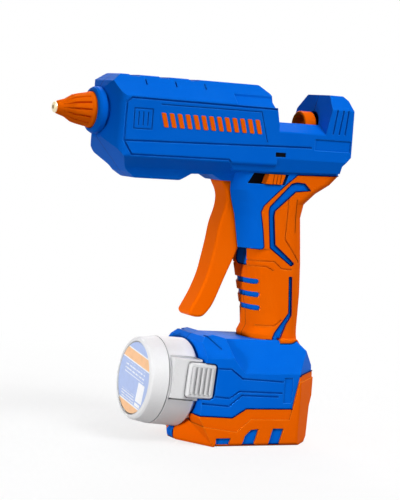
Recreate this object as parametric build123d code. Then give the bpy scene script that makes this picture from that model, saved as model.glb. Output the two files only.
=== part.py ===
from build123d import *

import math
import os

# Cordless hot-melt glue gun with a slide-in battery pack.
# X runs from the nozzle (-) to the back (+), Y across, Z up from the bench.
# Side outlines are drawn from a datum line; every piece is moved by stand_x when it is written,
# so that the origin lies on the bench under the middle of the tool.

# ------------------------------------------------------------------ driving dimensions (mm)
wall = 2.2  # moulded housing wall
gap = 0.3  # running gap between moving faces
pin_play = 0.05  # radial clearance of the hinge pin
groove_w = 1.0  # width of an engraved line
groove_d = 0.7  # depth of an engraved line
fine_d = 0.45  # depth of a fine line
edge_r = 2.2  # rounding of the moulded edges
flank_r = 1.9  # rounding along the barrel's flanks

# stick path
stick_d = 11.2  # glue stick
axis_z = 176.6  # height of the stick path
stick_play = 0.4  # radial room round the stick
guide_wall = 1.8

# barrel housing
nose_x = -66.5  # front face
barrel_end_x = 32.0  # rear face above the deck
barrel_half = 20.0  # half width
barrel_up = 20.2  # axis to top
barrel_down = 34.4  # axis to belly
top_half = 9.0  # half width of the flat top
shoulder_half = 12.0
shoulder_drop = 3.6  # top to shoulder line
side_drop = 11.3  # top to upper side edge
side_down = 22.8  # axis to lower side edge
belly_half = 10.5
belly_edge_up = 5.6  # belly to its upper edge
nose_plan_x = 5.5  # plan taper of the nose
nose_plan_y = 13.0
nose_r = 5.0  # rounding of the nose in plan
nose_chin = 14.0  # axis to the chin corner
nose_back = 19.9  # chin corner to belly corner, along X
belly_step_x = -20.2
belly_step = 3.9  # rise of the belly behind its deep part
pad_pitch = 17.6  # shallow steps along the top
pad_depth = 0.9

# tail: deck, trough and hump
tail_x = 3.3  # front end of the lower side flank
tail_rear_x = 79.9
deck_up = 0.8  # axis to deck
deck_half = 10.0
deck_bevel = 5.2
tail_down = 27.2  # axis to underside
flank_down = 19.1  # axis to the lower side edge of the tail
underside_half = 17.0
trough_r = 9.0
hump_x = 62.6
hump_up = 17.8  # axis to hump top
hump_lean = 3.2
hump_side_drop = 8.1
hump_top_half = 12.0

# handle
handle_half = 16.0
handle_r = 12.4  # corner radius of the grip's section
neck_r = 9.4  # corner radius of the neck under the barrel
handle_foot_x = 45.8  # middle of the handle at the foot
handle_foot_z = 63.0
handle_front_x = 31.8  # front of the handle at the foot
handle_back_x = 60.6
grip_t = 2.0  # soft grip thickness
neck_fore = 5.9  # how far the neck's front stands before the grip
inlay_sink = 0.6
neck_z = 107.1  # upper edge of the soft grip at the front
slot_count = 3  # finger slots
slot_pitch = 7.4
slot_high = 3.0
slot_sink = 1.1

# base
base_half = 29.0  # half width over the bumper
base_skin = 1.0  # how far the bumper stands out
bumper_t = 2.6
toe_half = 3.0  # half width of the hard toe between the soft ones
toe_reach = 3.6  # foot's tip before the base's front
ledge = 0.6  # step between the two bands of the bumper
base_front_x = -7.0
base_rear_x = 73.0
base_top_z = 58.6
base_plan = 19.0  # plan chamfer of the rear corners

# battery pack
pack_tilt = 4.4  # nose-up angle
pack_play = 0.5  # base face to the pack's joint plane
pack_z = 31.2
pack_d = 48.6
pack_front_d = 45.6
pack_front = 27.8  # joint plane to front rim
pack_split = 17.1  # joint plane to the cap seam
stem_d = 43.0
cup_wall = 3.6  # front rim to the inside of the cup
label_d = 39.0
label_t = 0.8
cell_d = 18.4
cell_len = 58.0
cell_play = 0.3
jaw_len = 6.5  # terminal jaws at the end of the stem
jaw_room = 8.7  # cells to the end of the stem
pack_wall = 1.5
latch_len = 16.0
latch_high = 19.0
latch_up = 4.6  # pack axis to the middle of a latch
latch_r = 3.0  # corner radius of a latch
latch_rim = 1.7  # latch to the edge of its boss
latch_t = 4.2
latch_throw = 1.5
latch_sink = 1.3  # base flank to the face of a latch
latch_lip = 3.5  # pocket floor to the rim of its boss
blade_y = 6.5  # pack axis to each contact blade
blade_t = 0.8

# trigger and feed
pivot_x = 26.0
pivot_z = 133.0
pin_d = 4.0
pin_half = 12.6
trigger_half = 7.5
trigger_r = 1.4  # rounding along the lever's sides
trigger_reach = 5.0  # length over which each bend of the lever is eased
trigger_angle = 16.0
trigger_arc_r = 22.3  # hinge to the hidden front of the lever
swing_steps = 4
fork_t = 2.6  # thickness of each fork arm
drive_pin_d = 3.0
bar_high = 5.4  # feed slide bar
bar_half = 4.0
bar_z = 160.8  # height of the bar's centre
bar_front_x = 17.0
bar_rear_x = 67.0
collar_r = 8.0
collar_x = 55.8
collar_len = 7.0
spring_d = 4.2
spring_wire = 0.7
spring_turns = 8
spring_front_x = -2.0
spring_seat_x = 21.0

# melt end
collar_d = 25.0  # ring round the nozzle
collar_proud = 4.6
nozzle_tip_x = -92.4
sleeve_base_d = 19.2
sleeve_mid_d = 14.6
sleeve_tip_d = 7.6
flutes = 14
flute_d = 1.5  # depth of a flute
tip_bore = 2.2
nozzle_nose_r = 2.9  # metal nozzle at its tip
nozzle_root_r = 6.0
chamber_r = 10.0
chamber_len = 48.0
heater_len = 26.0
heater_half = 6.5
heater_high = 5.0
inlet_len = 10.0  # rubber sleeve behind the chamber
inlet_bush_len = 8.0

# switch, lens, screws
knob_len = 12.0
knob_high = 5.4
switch_throw = 7.0
slot_front_x = 21.5
slot_z = 145.9
knob_proud = 1.0
switch_face = -11.4  # outer face of the switch body, across
lens_x = 35.0
lens_z = 159.6
lens_len = 6.4
lens_high = 2.4
screw_d = 3.0
screw_left = 9.0  # reach of a screw on the left of the seam
head_d = 5.6
head_h = 2.0
head_seat = 8.5  # seam to the seat of the screw heads
boss_r = 3.6
board_x = -42.5
board_half = 10.0
board_z = 150.6
board_t = 1.6

# ------------------------------------------------------------------ derived places
top_z = axis_z + barrel_up
belly_z = axis_z - barrel_down
side_top_z = top_z - side_drop
side_low_z = axis_z - side_down
deck_z = axis_z + deck_up
tail_z = axis_z - tail_down
hump_z = axis_z + hump_up
bore_r = stick_d / 2 + stick_play
guide_r = bore_r + guide_wall
arm_h = bar_z - pivot_z  # pivot to drive pin
feed_travel = arm_h * math.tan(math.radians(trigger_angle))
ring_seat_x = nose_x + nose_plan_x - 0.7  # the nozzle ring's flange lies behind the tapered wall
chamber_front_x = nose_x + 6.5
chamber_rear_x = chamber_front_x + chamber_len
grip_rear_x = tail_rear_x - 0.9
cell_x0 = -pack_front + cup_wall + cell_play
stem_len = cell_x0 + cell_len + jaw_room
latch_floor = base_half - latch_sink - latch_t - latch_throw - gap
boss_places = [
    (nose_x + 18.5, side_low_z + 0.6),
    (nose_x + 18.5, top_z - 6.4),
    (barrel_end_x - 9.0, top_z - 6.4),
    (tail_rear_x - 6.6, axis_z - 16.4),
    (tail_rear_x - 7.6, hump_z - 4.6),
    (handle_foot_x + 4.0, neck_z + 13.0),
    (handle_foot_x + 1.0, handle_foot_z + 10.0),
    (base_rear_x - 12.0, 12.0),
    (base_rear_x - 14.0, 46.0),
]
stand_x = -(nozzle_tip_x + tail_rear_x) / 2
pack_frame = Pos(base_front_x - pack_play, 0, pack_z) * Rot(0, pack_tilt, 0)


# ------------------------------------------------------------------ drawing helpers
def outline(points, inset=0.0, soft=0.0):
    """Closed flat outline: drawn inside itself by inset, or else with corners of radius soft."""
    shape = Polygon(*points, align=None)
    if inset:
        return offset(shape, -inset, kind=Kind.INTERSECTION)
    return fillet(shape.vertices(), soft) if soft else shape


def prism_y(points, y0, y1, inset=0.0, soft=0.0):
    """Side outline of (x, z) points, solid from y0 to y1."""
    plane = Plane((0, y0, 0), (1, 0, 0), (0, -1, 0))
    return extrude(plane * outline(points, inset, soft), y1 - y0, dir=(0, 1, 0))


def prism_x(points, x0, x1, inset=0.0, soft=0.0):
    """Cross section of (y, z) points, solid from x0 to x1."""
    plane = Plane((x0, 0, 0), (0, 1, 0), (1, 0, 0))
    return extrude(plane * outline(points, inset, soft), x1 - x0, dir=(1, 0, 0))


def prism_z(points, z0, z1, inset=0.0, soft=0.0):
    """Plan outline of (x, y) points, solid from z0 to z1."""
    return extrude(Plane((0, 0, z0)) * outline(points, inset, soft), z1 - z0, dir=(0, 0, 1))


def mirrored(points):
    """Both sides of a half outline whose first coordinate is the distance from the middle."""
    return points + [(-a, b) for a, b in reversed(points)]


def block(x0, x1, y0, y1, z0, z1):
    return Pos((x0 + x1) / 2, (y0 + y1) / 2, (z0 + z1) / 2) * Box(x1 - x0, y1 - y0, z1 - z0)


def rod_x(x0, x1, r, z=0.0, y=0.0):
    return Pos((x0 + x1) / 2, y, z) * Rot(0, 90, 0) * Cylinder(r, x1 - x0)


def rod_y(x, z, r, y0, y1):
    return Pos(x, (y0 + y1) / 2, z) * Rot(90, 0, 0) * Cylinder(r, y1 - y0)


def tube_x(x0, x1, r, bore, z=0.0):
    return rod_x(x0, x1, r, z) - rod_x(x0 - 1, x1 + 1, bore, z)


def turned(points, z=0.0):
    """Solid of revolution about the X axis from (x, radius) points, set at height z."""
    profile = Plane.XY * Polygon(*points, align=None)
    return Pos(0, 0, z) * revolve(profile, Axis.X)


def trace(points, width, y0, y1):
    """Line of the given width through (x, z) points, solid from y0 to y1."""
    line = None
    for (ax, az), (bx, bz) in zip(points, points[1:]):
        length = math.hypot(bx - ax, bz - az)
        ux = (bx - ax) / length * width / 2
        uz = (bz - az) / length * width / 2
        quad = [
            (ax - ux - uz, az - uz + ux),
            (ax - ux + uz, az - uz - ux),
            (bx + ux + uz, bz + uz - ux),
            (bx + ux - uz, bz + uz + ux),
        ]
        piece = prism_y(quad, y0, y1)
        line = piece if line is None else line + piece
    return line


def blended(points, reach):
    """Closed line round the points, with each corner eased over a reach of both its edges."""
    corners = []
    count = len(points)
    for i, here in enumerate(points):
        cuts = []
        for other in (points[i - 1], points[(i + 1) % count]):
            length = math.dist(here, other)
            share = min(reach, 0.45 * length) / length
            cuts.append((here[0] + (other[0] - here[0]) * share, here[1] + (other[1] - here[1]) * share))
        corners.append((cuts[0], here, cuts[1]))
    edges = []
    for i, (start, corner, end) in enumerate(corners):
        edges.append(Bezier(start, corner, end))
        edges.append(Line(end, corners[(i + 1) % count][0]))
    return Wire(edges)


def both_sides(shape):
    return shape + mirror(shape, Plane.XZ)


def keep_side(shape, side):
    """The half of a shape on the left (-1) or right (+1) of the seam."""
    far = 2 * base_half
    y0, y1 = (0, far) if side > 0 else (-far, 0)
    return shape & block(nozzle_tip_x - far, base_rear_x + 2 * far, y0, y1, -far, top_z + far)


# ------------------------------------------------------------------ outer forms
def barrel_form(inset=0.0):
    """Heater barrel: side outline, faceted section and tapered nose together."""
    side = [
        (nose_x, axis_z - nose_chin),
        (nose_x, axis_z + nose_chin - 1.4),
        (nose_x + 2.0, top_z - 4.2),
        (nose_x + 7.5, top_z),
        (barrel_end_x - 8.0, top_z),
        (barrel_end_x - 2.2, top_z - 4.6),
        (barrel_end_x - 1.0, side_top_z),
        (barrel_end_x + 1.0, deck_z - 2.0),
        (barrel_end_x + 1.0, tail_z + 2.0),
        (tail_x + 8.0, belly_z + 1.2),
        (tail_x + 1.5, belly_z + 1.2),
        (tail_x - 4.3, belly_z + belly_step + 0.5),
        (belly_step_x + 6.4, belly_z + belly_step),
        (belly_step_x, belly_z),
        (nose_x + nose_back, belly_z),
        (nose_x + nose_back - 5.0, belly_z + 3.2),
    ]
    section = mirrored([
        (top_half, top_z),
        (shoulder_half, top_z - shoulder_drop),
        (barrel_half, side_top_z),
        (barrel_half, side_low_z),
        (belly_half, belly_z + belly_edge_up),
        (belly_half - 1.0, belly_z),
    ])
    plan = outline([
        (nose_x, barrel_half - nose_plan_y),
        (nose_x + nose_plan_x, barrel_half),
        (barrel_end_x + 1.0, barrel_half),
        (barrel_end_x + 1.0, -barrel_half),
        (nose_x + nose_plan_x, -barrel_half),
        (nose_x, nose_plan_y - barrel_half),
    ], inset)
    front = [v for v in plan.vertices() if v.X < nose_x + nose_plan_x + 1 + inset]
    plan = Plane((0, 0, belly_z - 1)) * fillet(front, nose_r - inset)
    form = prism_y(side, -barrel_half - 1, barrel_half + 1, inset, edge_r)
    form &= prism_x(section, nose_x - 1, barrel_end_x + 2, inset, flank_r)
    return form & extrude(plan, barrel_up + barrel_down + 2, dir=(0, 0, 1))


def tail_form(inset=0.0):
    """Lower rear body with the bevelled deck on top."""
    side = [
        (tail_x, tail_z + 5.6),
        (tail_x + 5.4, tail_z),
        (tail_rear_x - 5.0, tail_z + 1.6),
        (tail_rear_x - 4.7, tail_z + 5.8),
        (tail_rear_x, tail_z + 11.1),
        (tail_rear_x, deck_z),
        (tail_x, deck_z),
    ]
    section = mirrored([
        (deck_half, deck_z),
        (barrel_half, deck_z - deck_bevel),
        (barrel_half, axis_z - flank_down),
        (underside_half, tail_z),
    ])
    form = prism_y(side, -barrel_half, barrel_half, inset)
    return form & prism_x(section, tail_x - 1, tail_rear_x + 1, inset, edge_r / 2)


def hump_form(inset=0.0):
    """Upright at the back that carries the stick inlet."""
    lean_top = hump_x + hump_lean
    side = [
        (hump_x, deck_z - 14.0),
        (hump_x, deck_z - deck_bevel),
        (lean_top, hump_z - hump_side_drop),
        (lean_top + 2.0, hump_z),
        (tail_rear_x - 3.4, hump_z),
        (tail_rear_x - 0.9, hump_z - 2.4),
        (tail_rear_x, hump_z - hump_side_drop),
        (tail_rear_x, deck_z - 14.0),
    ]
    section = mirrored([
        (hump_top_half, hump_z),
        (barrel_half, hump_z - hump_side_drop),
        (barrel_half, deck_z - 14.0),
    ])
    form = prism_y(side, -barrel_half, barrel_half, inset)
    return form & prism_x(section, hump_x - 1, tail_rear_x + 1, inset, edge_r / 2)


def handle_sections():
    """Level sections of the handle: height, front, back and corner radius."""
    front = handle_front_x
    back = handle_back_x
    foot = handle_foot_z
    t = tail_z
    n = neck_z
    return [
        (foot - 15.0, front - 1.6, back + 2.4, handle_r),
        (foot - 3.3, front - 2.0, back + 0.2, handle_r),
        (foot + 0.6, front, back, handle_r),
        (foot + 8.5, front - 0.8, back + 0.2, handle_r),
        (foot + 20.0, front - 3.6, back + 0.3, handle_r),
        (foot + 36.4, front - 7.5, back - 0.5, handle_r),
        (n, front - 7.7, back - 1.2, handle_r),
        (n + 0.4, front - 7.7 - neck_fore, back - 1.2, handle_r),
        (t - 24.4, front - 17.0, back - 2.8, handle_r),
        (t - 16.8, front - 19.4, back - 1.2, handle_r),
        (t - 10.4, front - 20.2, back + 4.4, neck_r),
        (t - 5.2, front - 20.2, back + 13.0, neck_r),
        (t + 0.2, tail_x + 8.6, grip_rear_x, neck_r),
        (t + 8.0, tail_x + 8.6, grip_rear_x, neck_r),
    ]


def handle_form(inset=0.0):
    """Handle with rounded corners, from the foot up into the neck and the flare under the tail."""
    levels = []
    for z, front, back, radius in handle_sections():
        depth = back - front - 2 * inset
        across = 2 * (handle_half - inset)
        levels.append(Pos((front + back) / 2, 0, z) * RectangleRounded(depth, across, radius - inset))
    return loft(levels, ruled=True)


def base_form(inset=0.0):
    """Foot of the tool: sloped shoulders, chamfered rear corners and a tilted front."""
    back = base_rear_x
    side = [
        (base_front_x + 9.0, 0.0),
        (base_front_x - 1.0, 15.6),
        (base_front_x + 1.7, base_top_z - 2.6),
        (base_front_x + 4.5, base_top_z + 0.7),
        (base_front_x + 10.6, base_top_z + 1.9),
        (base_front_x + 18.2, base_top_z),
        (back - 17.0, base_top_z - 1.0),
        (back - 1.8, base_top_z - 15.8),
        (back - 0.6, base_top_z - 21.6),
        (back, 26.0),
        (back - 3.6, 19.4),
        (back - 4.2, 14.0),
        (back - 5.4, 2.6),
        (back - 8.5, 0.0),
    ]
    plan = [
        (base_front_x - 5.0, base_half),
        (back - base_plan, base_half),
        (back, base_half - base_plan - 1.0),
        (back, -(base_half - base_plan - 1.0)),
        (back - base_plan, -base_half),
        (base_front_x - 5.0, -base_half),
    ]
    front_section = mirrored([(16.0, base_top_z + 2.0), (base_half, 48.5), (base_half, 0.0)])
    rear_section = mirrored([(17.5, base_top_z), (base_half, 40.0), (base_half, 0.0)])
    form = prism_y(side, -base_half, base_half, inset)
    form &= prism_z(plan, -1, base_top_z + 5, inset, edge_r)
    form &= prism_x(front_section, base_front_x - 10, back + 5, inset, edge_r)
    step_x = base_front_x + 19.9
    lowered = [
        (step_x - 2.0, base_top_z + 6.0),
        (step_x, 48.0),
        (step_x + 7.5, 40.0),
        (step_x + 7.5, 36.0),
        (back + 9.0, 36.0),
        (back + 9.0, base_top_z + 6.0),
    ]
    cut = prism_y(lowered, -base_half - 1, base_half + 1, -inset)
    return form - (cut - prism_x(rear_section, base_front_x - 10, back + 20, inset))


# ------------------------------------------------------------------ colour zones of the two-shot moulding
def grip_zone():
    """Side area covered by the soft grip, without its inlays and finger slots."""
    t = tail_z
    n = neck_z
    area = [
        (95.0, t + 0.6),
        (49.1, t - 0.4),
        (41.4, t - 6.8),
        (33.8, t - 13.8),
        (29.1, t - 18.4),
        (27.6, t - 21.8),
        (29.7, n + 10.7),
        (31.1, n + 1.4),
        (30.0, n),
        (10.0, n),
        (10.0, base_top_z - 3.0),
        (39.4, base_top_z - 3.0),
        (42.4, base_top_z + 1.0),
        (45.2, base_top_z - 3.0),
        (46.2, base_top_z - 6.4),
        (95.0, base_top_z - 6.4),
    ]
    return prism_y(area, -handle_half - 1, handle_half + 1)


def grip_inlays():
    """Hard stripes let into the soft grip."""
    t = tail_z
    n = neck_z
    hook = [
        (48.8, t - 4.7),
        (54.0, t - 5.0),
        (58.0, t - 8.7),
        (48.6, t - 9.7),
        (36.3, t - 20.8),
        (35.9, t - 23.6),
        (37.9, n + 2.7),
        (50.9, n - 7.4),
        (49.1, n - 8.6),
        (34.9, n + 1.0),
        (32.6, t - 21.5),
        (32.9, t - 18.8),
        (45.7, t - 5.5),
    ]
    foot = handle_foot_z
    tail = [
        (48.5, foot + 29.2),
        (50.2, foot + 29.2),
        (51.9, foot + 7.8),
        (48.6, foot + 2.9),
        (45.6, foot - 5.0),
        (40.6, foot - 5.0),
        (41.8, foot - 2.0),
        (49.9, foot + 9.1),
    ]
    far = handle_half + 1
    return prism_y(hook, -far, far) + prism_y(tail, -far, far)


def finger_slots():
    """Three slots with round rear ends across the front of the grip."""
    slots = None
    for i in range(slot_count):
        z = handle_foot_z + 11.1 + slot_pitch * i
        x = handle_front_x + 2.3 - 1.25 * i - slot_high / 2
        slot = block(10.0, x, -handle_half - 1, handle_half + 1, z - slot_high / 2, z + slot_high / 2)
        slot += rod_y(x, z, slot_high / 2, -handle_half - 1, handle_half + 1)
        slots = slot if slots is None else slots + slot
    return slots


def grip_lines():
    """Fine engraved lines on the flanks of the soft grip."""
    t = tail_z
    n = neck_z
    foot = handle_foot_z
    far = handle_half + 1
    paths = [
        [(44.6, t - 14.4), (44.0, n + 6.0), (54.6, n - 6.6)],
        [(49.9, t - 14.4), (50.4, n + 10.0)],
        [(22.0, n - 6.4), (38.4, n - 6.6), (43.4, n - 10.4), (49.4, n - 10.8)],
        [(24.0, n - 9.4), (33.6, n - 9.4), (38.0, n - 11.4)],
        [(33.4, foot + 1.6), (41.6, foot + 1.8), (45.4, foot + 5.0)],
    ]
    lines = None
    for path in paths:
        line = trace(path, groove_w * 0.7, -far, far)
        lines = line if lines is None else lines + line
    return lines - handle_form(fine_d)


def grip_tongue():
    """Lower end of the soft grip, lapped over the rear shoulder of the base."""
    area = [
        (44.6, base_top_z + 1.5),
        (44.6, base_top_z - 4.6),
        (46.2, base_top_z - 6.4),
        (60.0, base_top_z - 6.4),
        (60.0, base_top_z + 1.5),
    ]
    shell = base_form() - base_form(base_skin)
    tongue = shell & prism_y(area, -handle_half - 4, handle_half + 4) & handle_sweep()
    return tongue - handle_form(grip_t) - grip_inlays()


def handle_sweep():
    """Upright continuation of the handle's foot, a little wider than the handle."""
    lap = 2.4
    depth = handle_back_x - handle_front_x + 2 * lap
    across = 2 * (handle_half + lap)
    section = Pos((handle_front_x + handle_back_x) / 2, 0) * RectangleRounded(depth, across, handle_r)
    return Pos(0, 0, base_top_z - 12) * extrude(section, 16)


def bumper_zone():
    """Side area covered by the soft bumper, without its three windows."""
    x = base_front_x
    far = base_rear_x + 10
    area = [
        (x - 6.0, -5.0),
        (x - 6.0, 17.6),
        (x + 0.1, 16.9),
        (x + 19.7, 15.8),
        (x + 27.9, 20.7),
        (x + 56.8, 20.4),
        (x + 60.3, 38.2),
        (x + 62.1, 39.1),
        (far, 39.1),
        (far, -5.0),
    ]
    zone = prism_y(area, -base_half - 1, base_half + 1)
    windows = [
        [(x + 10.3, 1.3), (x + 10.3, 4.7), (x + 19.6, 4.7), (x + 18.4, 1.3)],
        [(x + 31.4, 9.1), (x + 36.4, 9.6), (x + 34.0, 1.2), (x + 26.5, 1.2), (x + 28.0, 5.9)],
        [(x + 45.1, 9.7), (x + 52.1, 9.6), (x + 49.7, 1.2), (x + 42.8, 1.2)],
    ]
    for points in windows:
        zone -= both_sides(prism_y(points, base_half - 6, base_half + 1))
    return zone


def bumper_band():
    """Upper band of the bumper flanks, which lies a step behind the lower one."""
    x = base_front_x
    far = base_rear_x + 10
    area = [
        (x - 14.0, 13.0),
        (x - 2.0, 11.6),
        (x + 22.6, 7.9),
        (x + 31.2, 14.9),
        (x + 55.4, 14.4),
        (x + 59.4, 35.4),
        (far, 35.4),
        (far, 60.0),
        (x - 14.0, 60.0),
    ]
    band = prism_y(area, -base_half - 1, base_half + 1)
    return band & (base_form() - base_form(ledge))


def toe_form():
    """Bow of the foot that reaches forward under the battery pack, both sides."""
    x = base_front_x
    side = [
        (x - toe_reach + 1.2, 0.0),
        (x - toe_reach, 3.4),
        (x - toe_reach + 0.6, 5.2),
        (x + 1.4, 16.0),
        (x + 10.0, 16.0),
        (x + 10.0, 0.0),
    ]
    plan = [
        (x - toe_reach, 2.0),
        (x + 8.6, base_half),
        (x + 10.0, base_half),
        (x + 10.0, -base_half),
        (x + 8.6, -base_half),
        (x - toe_reach, -2.0),
    ]
    return prism_y(side, -base_half, base_half, 0, 0.9) & prism_z(plan, -1, 20)


def hard_toe():
    """Middle toe of the housing between the two soft ones."""
    x = base_front_x
    side = [
        (x - toe_reach, 1.4),
        (x - toe_reach - 0.6, 4.4),
        (x - toe_reach + 1.6, 7.2),
        (x + 14.0, 8.0),
        (x + 14.0, 0.0),
        (x - toe_reach + 1.8, 0.0),
    ]
    return prism_y(side, -toe_half, toe_half, 0, 0.9)


# ------------------------------------------------------------------ housing halves
def main_form(inset=0.0):
    """Barrel, tail and hump together."""
    return barrel_form(inset) + tail_form(inset) + hump_form(inset)


def pack_bay(radius, back):
    """Round space along the battery pack's own axis, open to the front."""
    return pack_frame * rod_x(-60, back, radius)


def latch_pockets():
    """Open-fronted pockets in the base flanks for the battery latches."""
    half = latch_high / 2 + gap + 0.2
    area = Pos(latch_len / 2 + 1.0 - 20.0, latch_up) * RectangleRounded(40.0, 2 * half, latch_r)
    pocket = extrude(Plane((0, latch_floor, 0), (1, 0, 0), (0, -1, 0)) * area, base_half, dir=(0, 1, 0))
    return both_sides(pack_frame * pocket)


def trough():
    """Open channel in the deck through which the glue stick passes."""
    channel = rod_x(barrel_end_x - 6, hump_x + 1, trough_r, axis_z)
    return channel + block(barrel_end_x + 1, hump_x + 1, -trough_r, trough_r, axis_z, deck_z + 2)


def path_cuts():
    """Holes of the stick path, from the stick inlet to the nozzle."""
    inlet = rod_x(tail_rear_x - wall - 1, tail_rear_x + 1, guide_r, axis_z)
    collar = rod_x(hump_x - 1, hump_x + wall + 4, collar_r + 0.5, axis_z)
    post = block(collar_x - feed_travel - 1, hump_x + wall + 4, -2.4, 2.4, axis_z - 12, axis_z)
    nozzle = rod_x(nose_x - 1, ring_seat_x, collar_d / 2 - 1.5, axis_z)
    return inlet + collar + post + nozzle


def trigger_outline():
    """Side outline of the lever; its hidden top is an arc about the hinge."""
    points = [
        (-33.8, -62.2),
        (-31.8, -64.8),
        (-25.6, -65.2),
        (-22.4, -62.4),
        (-19.0, -57.6),
        (-12.4, -41.0),
        (-6.8, -28.0),
        (-2.2, -16.0),
        (-0.4, -8.0),
        (4.2, -4.6),
        (5.4, 1.0),
        (4.4, 4.6),
        (-6.0, 9.0),
    ]
    for step in range(6):
        angle = math.radians(126.0 + step * 5.3)
        points.append((trigger_arc_r * math.cos(angle), trigger_arc_r * math.sin(angle)))
    points += [(-16.6, 5.2), (-15.6, 0.9), (-16.2, -5.0), (-19.0, -13.1), (-20.3, -23.0)]
    points += [(-24.0, -41.5), (-28.2, -52.0), (-32.4, -59.6)]
    return [(pivot_x + x, pivot_z + z) for x, z in points]


def turn_trigger(shape, angle):
    """Shape swung about the trigger hinge by a squeeze of so many degrees."""
    hinge = Pos(pivot_x, 0, pivot_z)
    return hinge * Rot(0, -angle, 0) * hinge.inverse() * shape


def trigger_room():
    """Space that the trigger needs over its whole swing."""
    half = trigger_half + gap
    swept = prism_y(trigger_outline(), -half, half, -gap - 0.1)
    room = swept
    for step in range(1, swing_steps + 1):
        room += turn_trigger(swept, trigger_angle * step / swing_steps)
    return room


def side_lines():
    """Engraved lines of the barrel flank, drawn on one side."""
    y0 = barrel_half - groove_d
    y1 = barrel_half + 1
    panel = [
        (barrel_end_x - 1.5, side_top_z - 1.4),
        (nose_x + 10.4, side_top_z - 1.0),
        (nose_x + 7.6, side_top_z - 3.5),
        (nose_x + 7.2, axis_z - 14.7),
        (tail_rear_x - 26.2, axis_z - 12.1),
    ]
    lower = [
        (nose_x + 7.2, axis_z - 14.7),
        (nose_x + 12.0, side_low_z + 1.0),
        (tail_x, side_low_z + 1.4),
        (tail_x + 5.4, tail_z + 0.9),
    ]
    plate = [
        (barrel_end_x - 6.0, axis_z - 10.4),
        (barrel_end_x - 10.7, axis_z + 5.5),
        (nose_x + 27.6, axis_z + 5.4),
    ]
    lines = trace(panel, groove_w, y0, y1) + trace(lower, groove_w, y0, y1)
    lines += trace(plate, groove_w * 0.6, y0 + 0.3, y1) + vent_panel(y0 + groove_d - fine_d, y1)
    for x, lean in ((0.0, -2.0), (3.9, -2.0), (7.1, -1.4)):
        top = (hump_x + 6.5 + x, hump_z - hump_side_drop - 0.5)
        foot = (hump_x + 6.5 + x + lean, deck_z - deck_bevel + 1.0)
        lines += trace([top, foot], groove_w, y0, y1)
    plaque = block(hump_x - 6.4, tail_rear_x - 0.8, y0 + 0.2, y1, axis_z - 13.4, axis_z - 7.2)
    y2 = shoulder_half + 2.2
    cover = block(tail_x + 3, barrel_end_x + 4, y2, y1, side_top_z - 0.6, top_z)
    cover -= barrel_form(groove_d * 1.5)
    return both_sides(lines + plaque + cover)


def vent_panel(y0, y1):
    """Small framed panel with three upright ribs."""
    x = nose_x + 17.4
    z = axis_z - 2.8
    half = 5.3
    frame = [(x - half, z - half), (x - half, z + half), (x + half, z + half), (x + half, z - half)]
    lines = trace(frame + frame[:1], groove_w * 0.7, y0, y1)
    for i in range(3):
        rib_x = x + 2.7 * (i - 1)
        lines += trace([(rib_x, z - 3.3), (rib_x, z + 3.3)], groove_w * 0.7, y0, y1)
    return lines


def base_lines():
    """Engraved lines of the base flanks, drawn on one side."""
    y0 = base_half - base_skin - groove_d
    y1 = base_half + 1
    x = base_front_x
    upper = [(x + 8.9, 42.5), (x + 17.4, 42.3), (x + 24.6, 37.1), (x + 49.8, 35.4)]
    middle = [(x + 8.3, 27.3), (x + 17.5, 26.4), (x + 23.4, 30.2), (x + 49.7, 29.1)]
    lower = [(x + 1.3, 23.5), (x + 17.3, 22.0), (x + 24.8, 28.0), (x + 47.3, 27.1)]
    lines = trace(upper, groove_w, y0, y1) + trace(middle, groove_w, y0, y1)
    lines += trace(lower, groove_w, y0, y1)
    plate = block(x + 50.9, x + 56.5, y0 + 0.2, y1, 23.5, 37.6)
    ear = [(x + 2.4, base_top_z + 2.6), (x + 6.2, base_top_z + 0.4), (x + 12.6, base_top_z - 6.0)]
    crease = trace(ear, groove_w, 12.0, y1) - base_form(base_skin + groove_d)
    return both_sides(lines + plate + crease)


def top_steps():
    """Shallow dips across the top of the barrel."""
    dips = None
    for i in range(3):
        x = nose_x + 11.6 + pad_pitch * i
        points = [
            (x, top_z + 1),
            (x + 1.6, top_z - pad_depth),
            (x + 6.6, top_z - pad_depth),
            (x + 8.4, top_z + 1),
        ]
        dip = prism_y(points, -top_half - 1, top_half + 1)
        edge = nose_x + 20.8 + pad_pitch * i
        notch = block(edge, edge + 0.9, shoulder_half - 1.5, barrel_half, top_z - 5.0, top_z)
        dip += both_sides(notch - barrel_form(0.9))
        dips = dip if dips is None else dips + dip
    return dips


def switch_slot():
    """Slot in the left flank of the neck for the slide switch."""
    x0 = slot_front_x
    x1 = slot_front_x + knob_len + switch_throw + 2 * gap
    half = knob_high / 2 + gap
    points = [
        (x0 - 3.5, slot_z - half),
        (x0, slot_z + half),
        (x1 + 2.5, slot_z + half),
        (x1, slot_z - half),
    ]
    return prism_y(points, -handle_half - 1, -handle_half + grip_t + wall + 1)


def rails():
    """Ribs that carry the feed slide, the heater supports and the electronics."""
    z1 = bar_z - bar_high / 2 - gap
    y1 = barrel_half - 1
    ribs = block(bar_front_x + 14, bar_front_x + 17, -y1, y1, tail_z + 0.5, z1)
    ribs += block(bar_rear_x - 6, bar_rear_x - 3, -y1, y1, tail_z + 0.5, z1)
    half = trigger_half + 1
    ribs -= block(bar_front_x, bar_front_x + 18, -half, half, tail_z - 1, z1 - 2)
    return ribs


def lens_shape(y0, y1):
    """Flat window of the indicator light, from y0 to y1."""
    half = lens_len / 2
    return block(lens_x - half, lens_x + half, y0, y1, lens_z - lens_high / 2, lens_z + lens_high / 2)


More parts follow.
